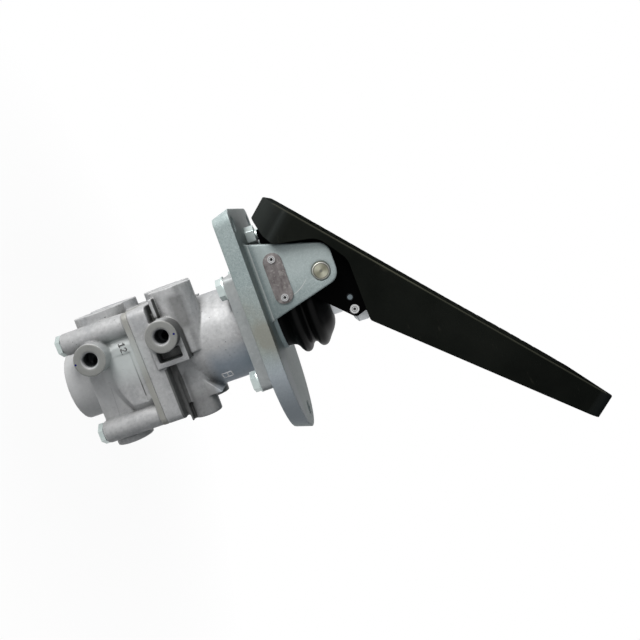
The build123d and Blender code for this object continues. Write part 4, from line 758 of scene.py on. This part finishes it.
# castings: cell size in mm, which sets with the passes of easing how round their edges are
castings = {"upper_housing": 0.60, "lower_housing": 0.60, "mounting_bracket": 0.65}
easingPasses = 4
mostTriangles = 190000
for name, cell in castings.items():
    work = skinOf(name)
    remesh = work.modifiers.new("cells", "REMESH")
    remesh.mode, remesh.voxel_size = "VOXEL", cell * mm
    ease = work.modifiers.new("ease", "SMOOTH")
    ease.factor, ease.iterations = 0.5, easingPasses
    bpy.context.view_layer.update()
    cells = len(work.evaluated_get(bpy.context.evaluated_depsgraph_get()).data.polygons)
    thin = work.modifiers.new("thin", "DECIMATE")
    thin.ratio = min(1.0, mostTriangles / (2.0 * cells))
    print(name, cells, "cells")
    finishedFrom(work, name + "Casting", slotOf[name], "valve_body", name)

# pressed, turned and moulded pieces: edge round in mm, and the body each rides on
rounded = {
    "treadle": (0.9, "pedal"),
    "pedal_arm": (0.6, "pedal"),
    "spacer_block": (0.5, "pedal"),
    "nameplate": (0.22, "valve_body"),
    "stop_nut": (0.35, "valve_body"),
    "flange_bolts": (0.3, "valve_body"),
    "housing_bolts": (0.3, "valve_body"),
    "pivot_pin": (0.25, "valve_body"),
    "roller_axle": (0.25, "pedal"),
    "treadle_screws": (0.2, "pedal"),
}
# cuts, flat and fall are mm to each side, from and to mm up the treadle; drop is a share of the height
padCrown = {"cuts": (14.0, 20.0, 26.0, 31.0, 35.0), "flat": 14.0, "fall": 22.0, "drop": 0.85,
            "from": 205.0, "to": 150.0}


def crownPad(mesh):
    # lowers the grooved pad towards its sides, only to match the photo's clean outline: its height falls
    # as a half cosine wave of the distance from the middle line, and stays full near the tip
    work = bmesh.new()
    work.from_mesh(mesh)
    for cut in padCrown["cuts"]:
        for side in (-1, 1):
            parts = work.verts[:] + work.edges[:] + work.faces[:]
            bmesh.ops.bisect_plane(work, geom=parts, plane_co=(0, side * cut * mm, 0), plane_no=(0, 1, 0))
    work.to_mesh(mesh)
    work.free()
    points = np.empty(len(mesh.vertices) * 3)
    mesh.vertices.foreach_get("co", points)
    points = points.reshape(-1, 3)
    tilt = radians(treadleTilt)
    top = np.array([treadleHeel[0], 0.0, treadleHeel[1]]) * mm
    rise = np.array([-sin(tilt), 0.0, cos(tilt)])
    along = (points - top) @ np.array([cos(tilt), 0.0, sin(tilt)])
    height = (points - top) @ rise
    wave = np.clip((np.abs(points[:, 1]) / mm - padCrown["flat"]) / padCrown["fall"], 0, 1)
    heelPart = np.clip((padCrown["from"] - along / mm) / (padCrown["from"] - padCrown["to"]), 0, 1)
    lower = padCrown["drop"] * (0.5 - 0.5 * np.cos(pi * wave)) * heelPart * (height > 0.02 * mm)
    points -= np.outer(height * lower, rise)
    mesh.vertices.foreach_set("co", points.ravel())
    mesh.update()


for name, (edge, body) in rounded.items():
    work = skinOf(name)
    if name == "treadle":
        crownPad(work.data)
    bevel = work.modifiers.new("edges", "BEVEL")
    bevel.width, bevel.segments, bevel.limit_method, bevel.angle_limit = edge * mm, 3, "ANGLE", radians(32)
    bevel.use_clamp_overlap, bevel.harden_normals = True, False
    even = work.modifiers.new("shade", "WEIGHTED_NORMAL")
    even.keep_sharp = False
    for face in work.data.polygons:
        face.use_smooth = True
    finishedFrom(work, name + "Rounded", slotOf[name], body, name)
print("castings and pressings made")


def floorPaint():
    # white to the camera and in reflections, with a trace of the part's own shadow
    f = Finish("floorPaint")
    seen = f.add("ShaderNodeLightPath", output="Is Camera Ray")
    mirrored = f.add("ShaderNodeLightPath", output="Is Glossy Ray")
    white = f.add("ShaderNodeEmission", {}, {"Color": (1, 1, 1, 1), "Strength": 1.0})
    plain = f.add("ShaderNodeBsdfDiffuse", {}, {"Color": (0.8, 0.8, 0.8, 1)})
    x, y, z = f.xyz()
    away = (x * x + y * y).maths("SQRT")
    clear = 0.955 + 0.045 * ((away - 0.10) / 0.22).maths("ADD", 0.0, clamp=True)
    both = f.add("ShaderNodeMixShader", {}, {0: seen.most(mirrored) * clear, 1: plain, 2: white})
    f.add("ShaderNodeOutputMaterial", {}, {"Surface": both}, output=None)
    return f.material


def makeFloor(radius, depth):
    # a flat disc under the part: rings of points about its middle
    ring = np.linspace(0.001, radius, 12)[:, None]
    angle = np.linspace(0, 2 * pi, 96, endpoint=False)[None, :]
    points = np.stack([ring * np.cos(angle), ring * np.sin(angle), depth + 0 * ring * angle], axis=-1)
    mesh = gridMesh("floor", points)
    mesh.materials.append(floorPaint())
    item = bpy.data.objects.new("floor", mesh)
    bpy.context.scene.collection.objects.link(item)


floorSize = {"radius": 0.45, "depth": -0.1396}  # metres
makeFloor(**floorSize)

# camera: its place and the directions that are right and up in the picture, fitted to the photo
cameraAt = Vector((-62.0, -521.4, 70.6)) * mm
cameraRight = Vector((0.3322, 0.0058, 0.9432)).normalized()
nearlyUp = Vector((-0.9325, 0.1518, 0.3276))
back = cameraRight.cross(nearlyUp).normalized()
cameraUp = back.cross(cameraRight).normalized()
camera = bpy.data.objects.new("camera", bpy.data.cameras.new("camera"))
bpy.context.scene.collection.objects.link(camera)
camera.matrix_world = (Matrix.Translation(cameraAt)
                       @ Matrix((cameraRight, cameraUp, back)).transposed().to_4x4())
camera.data.lens, camera.data.sensor_width = 41.25, 36.0
camera.data.clip_start, camera.data.clip_end = 0.01, 50.0
bpy.context.scene.camera = camera


def lamp(name, place, size, power):
    # a round area lamp aimed at the part's middle
    centre = Vector((0.0, 0.0, -0.02))
    place = Vector(place)
    data = bpy.data.lights.new(name, "AREA")
    data.shape, data.size, data.energy = "DISK", size, power
    item = bpy.data.objects.new(name, data)
    item.matrix_world = (Matrix.Translation(place)
                         @ (place - centre).to_track_quat("Z", "Y").to_matrix().to_4x4())
    bpy.context.scene.collection.objects.link(item)


lamp("keyLamp", (-0.66, -0.34, -0.10), 0.42, 6.0)
lamp("frontLamp", (-0.55, -0.75, 0.10), 0.6, 1.5)

# surroundings: white where they are seen or mirrored, a dim pale blue where they light the part
lighting = {"seen": (1, 1, 1, 1), "around": (0.86, 0.94, 1.0, 1), "level": 0.17}
world = bpy.data.worlds.new("world")
bpy.context.scene.world = world
world.use_nodes = True
worldTree = world.node_tree
worldTree.nodes.clear()
ray = worldTree.nodes.new("ShaderNodeLightPath")
white = worldTree.nodes.new("ShaderNodeBackground")
white.inputs[0].default_value, white.inputs[1].default_value = lighting["seen"], 1.0
lit = worldTree.nodes.new("ShaderNodeBackground")
lit.inputs[0].default_value, lit.inputs[1].default_value = lighting["around"], lighting["level"]
either, every = worldTree.nodes.new("ShaderNodeMath"), worldTree.nodes.new("ShaderNodeMath")
either.operation = every.operation = "MAXIMUM"
mixer = worldTree.nodes.new("ShaderNodeMixShader")
out = worldTree.nodes.new("ShaderNodeOutputWorld")
links = worldTree.links
links.new(ray.outputs["Is Camera Ray"], either.inputs[0])
links.new(ray.outputs["Is Transmission Ray"], either.inputs[1])
links.new(either.outputs[0], every.inputs[0])
links.new(ray.outputs["Is Glossy Ray"], every.inputs[1])
links.new(every.outputs[0], mixer.inputs[0])
links.new(lit.outputs[0], mixer.inputs[1])
links.new(white.outputs[0], mixer.inputs[2])
links.new(mixer.outputs[0], out.inputs[0])
bpy.context.scene.view_settings.view_transform = "Standard"
print("floor, camera and lamps set")
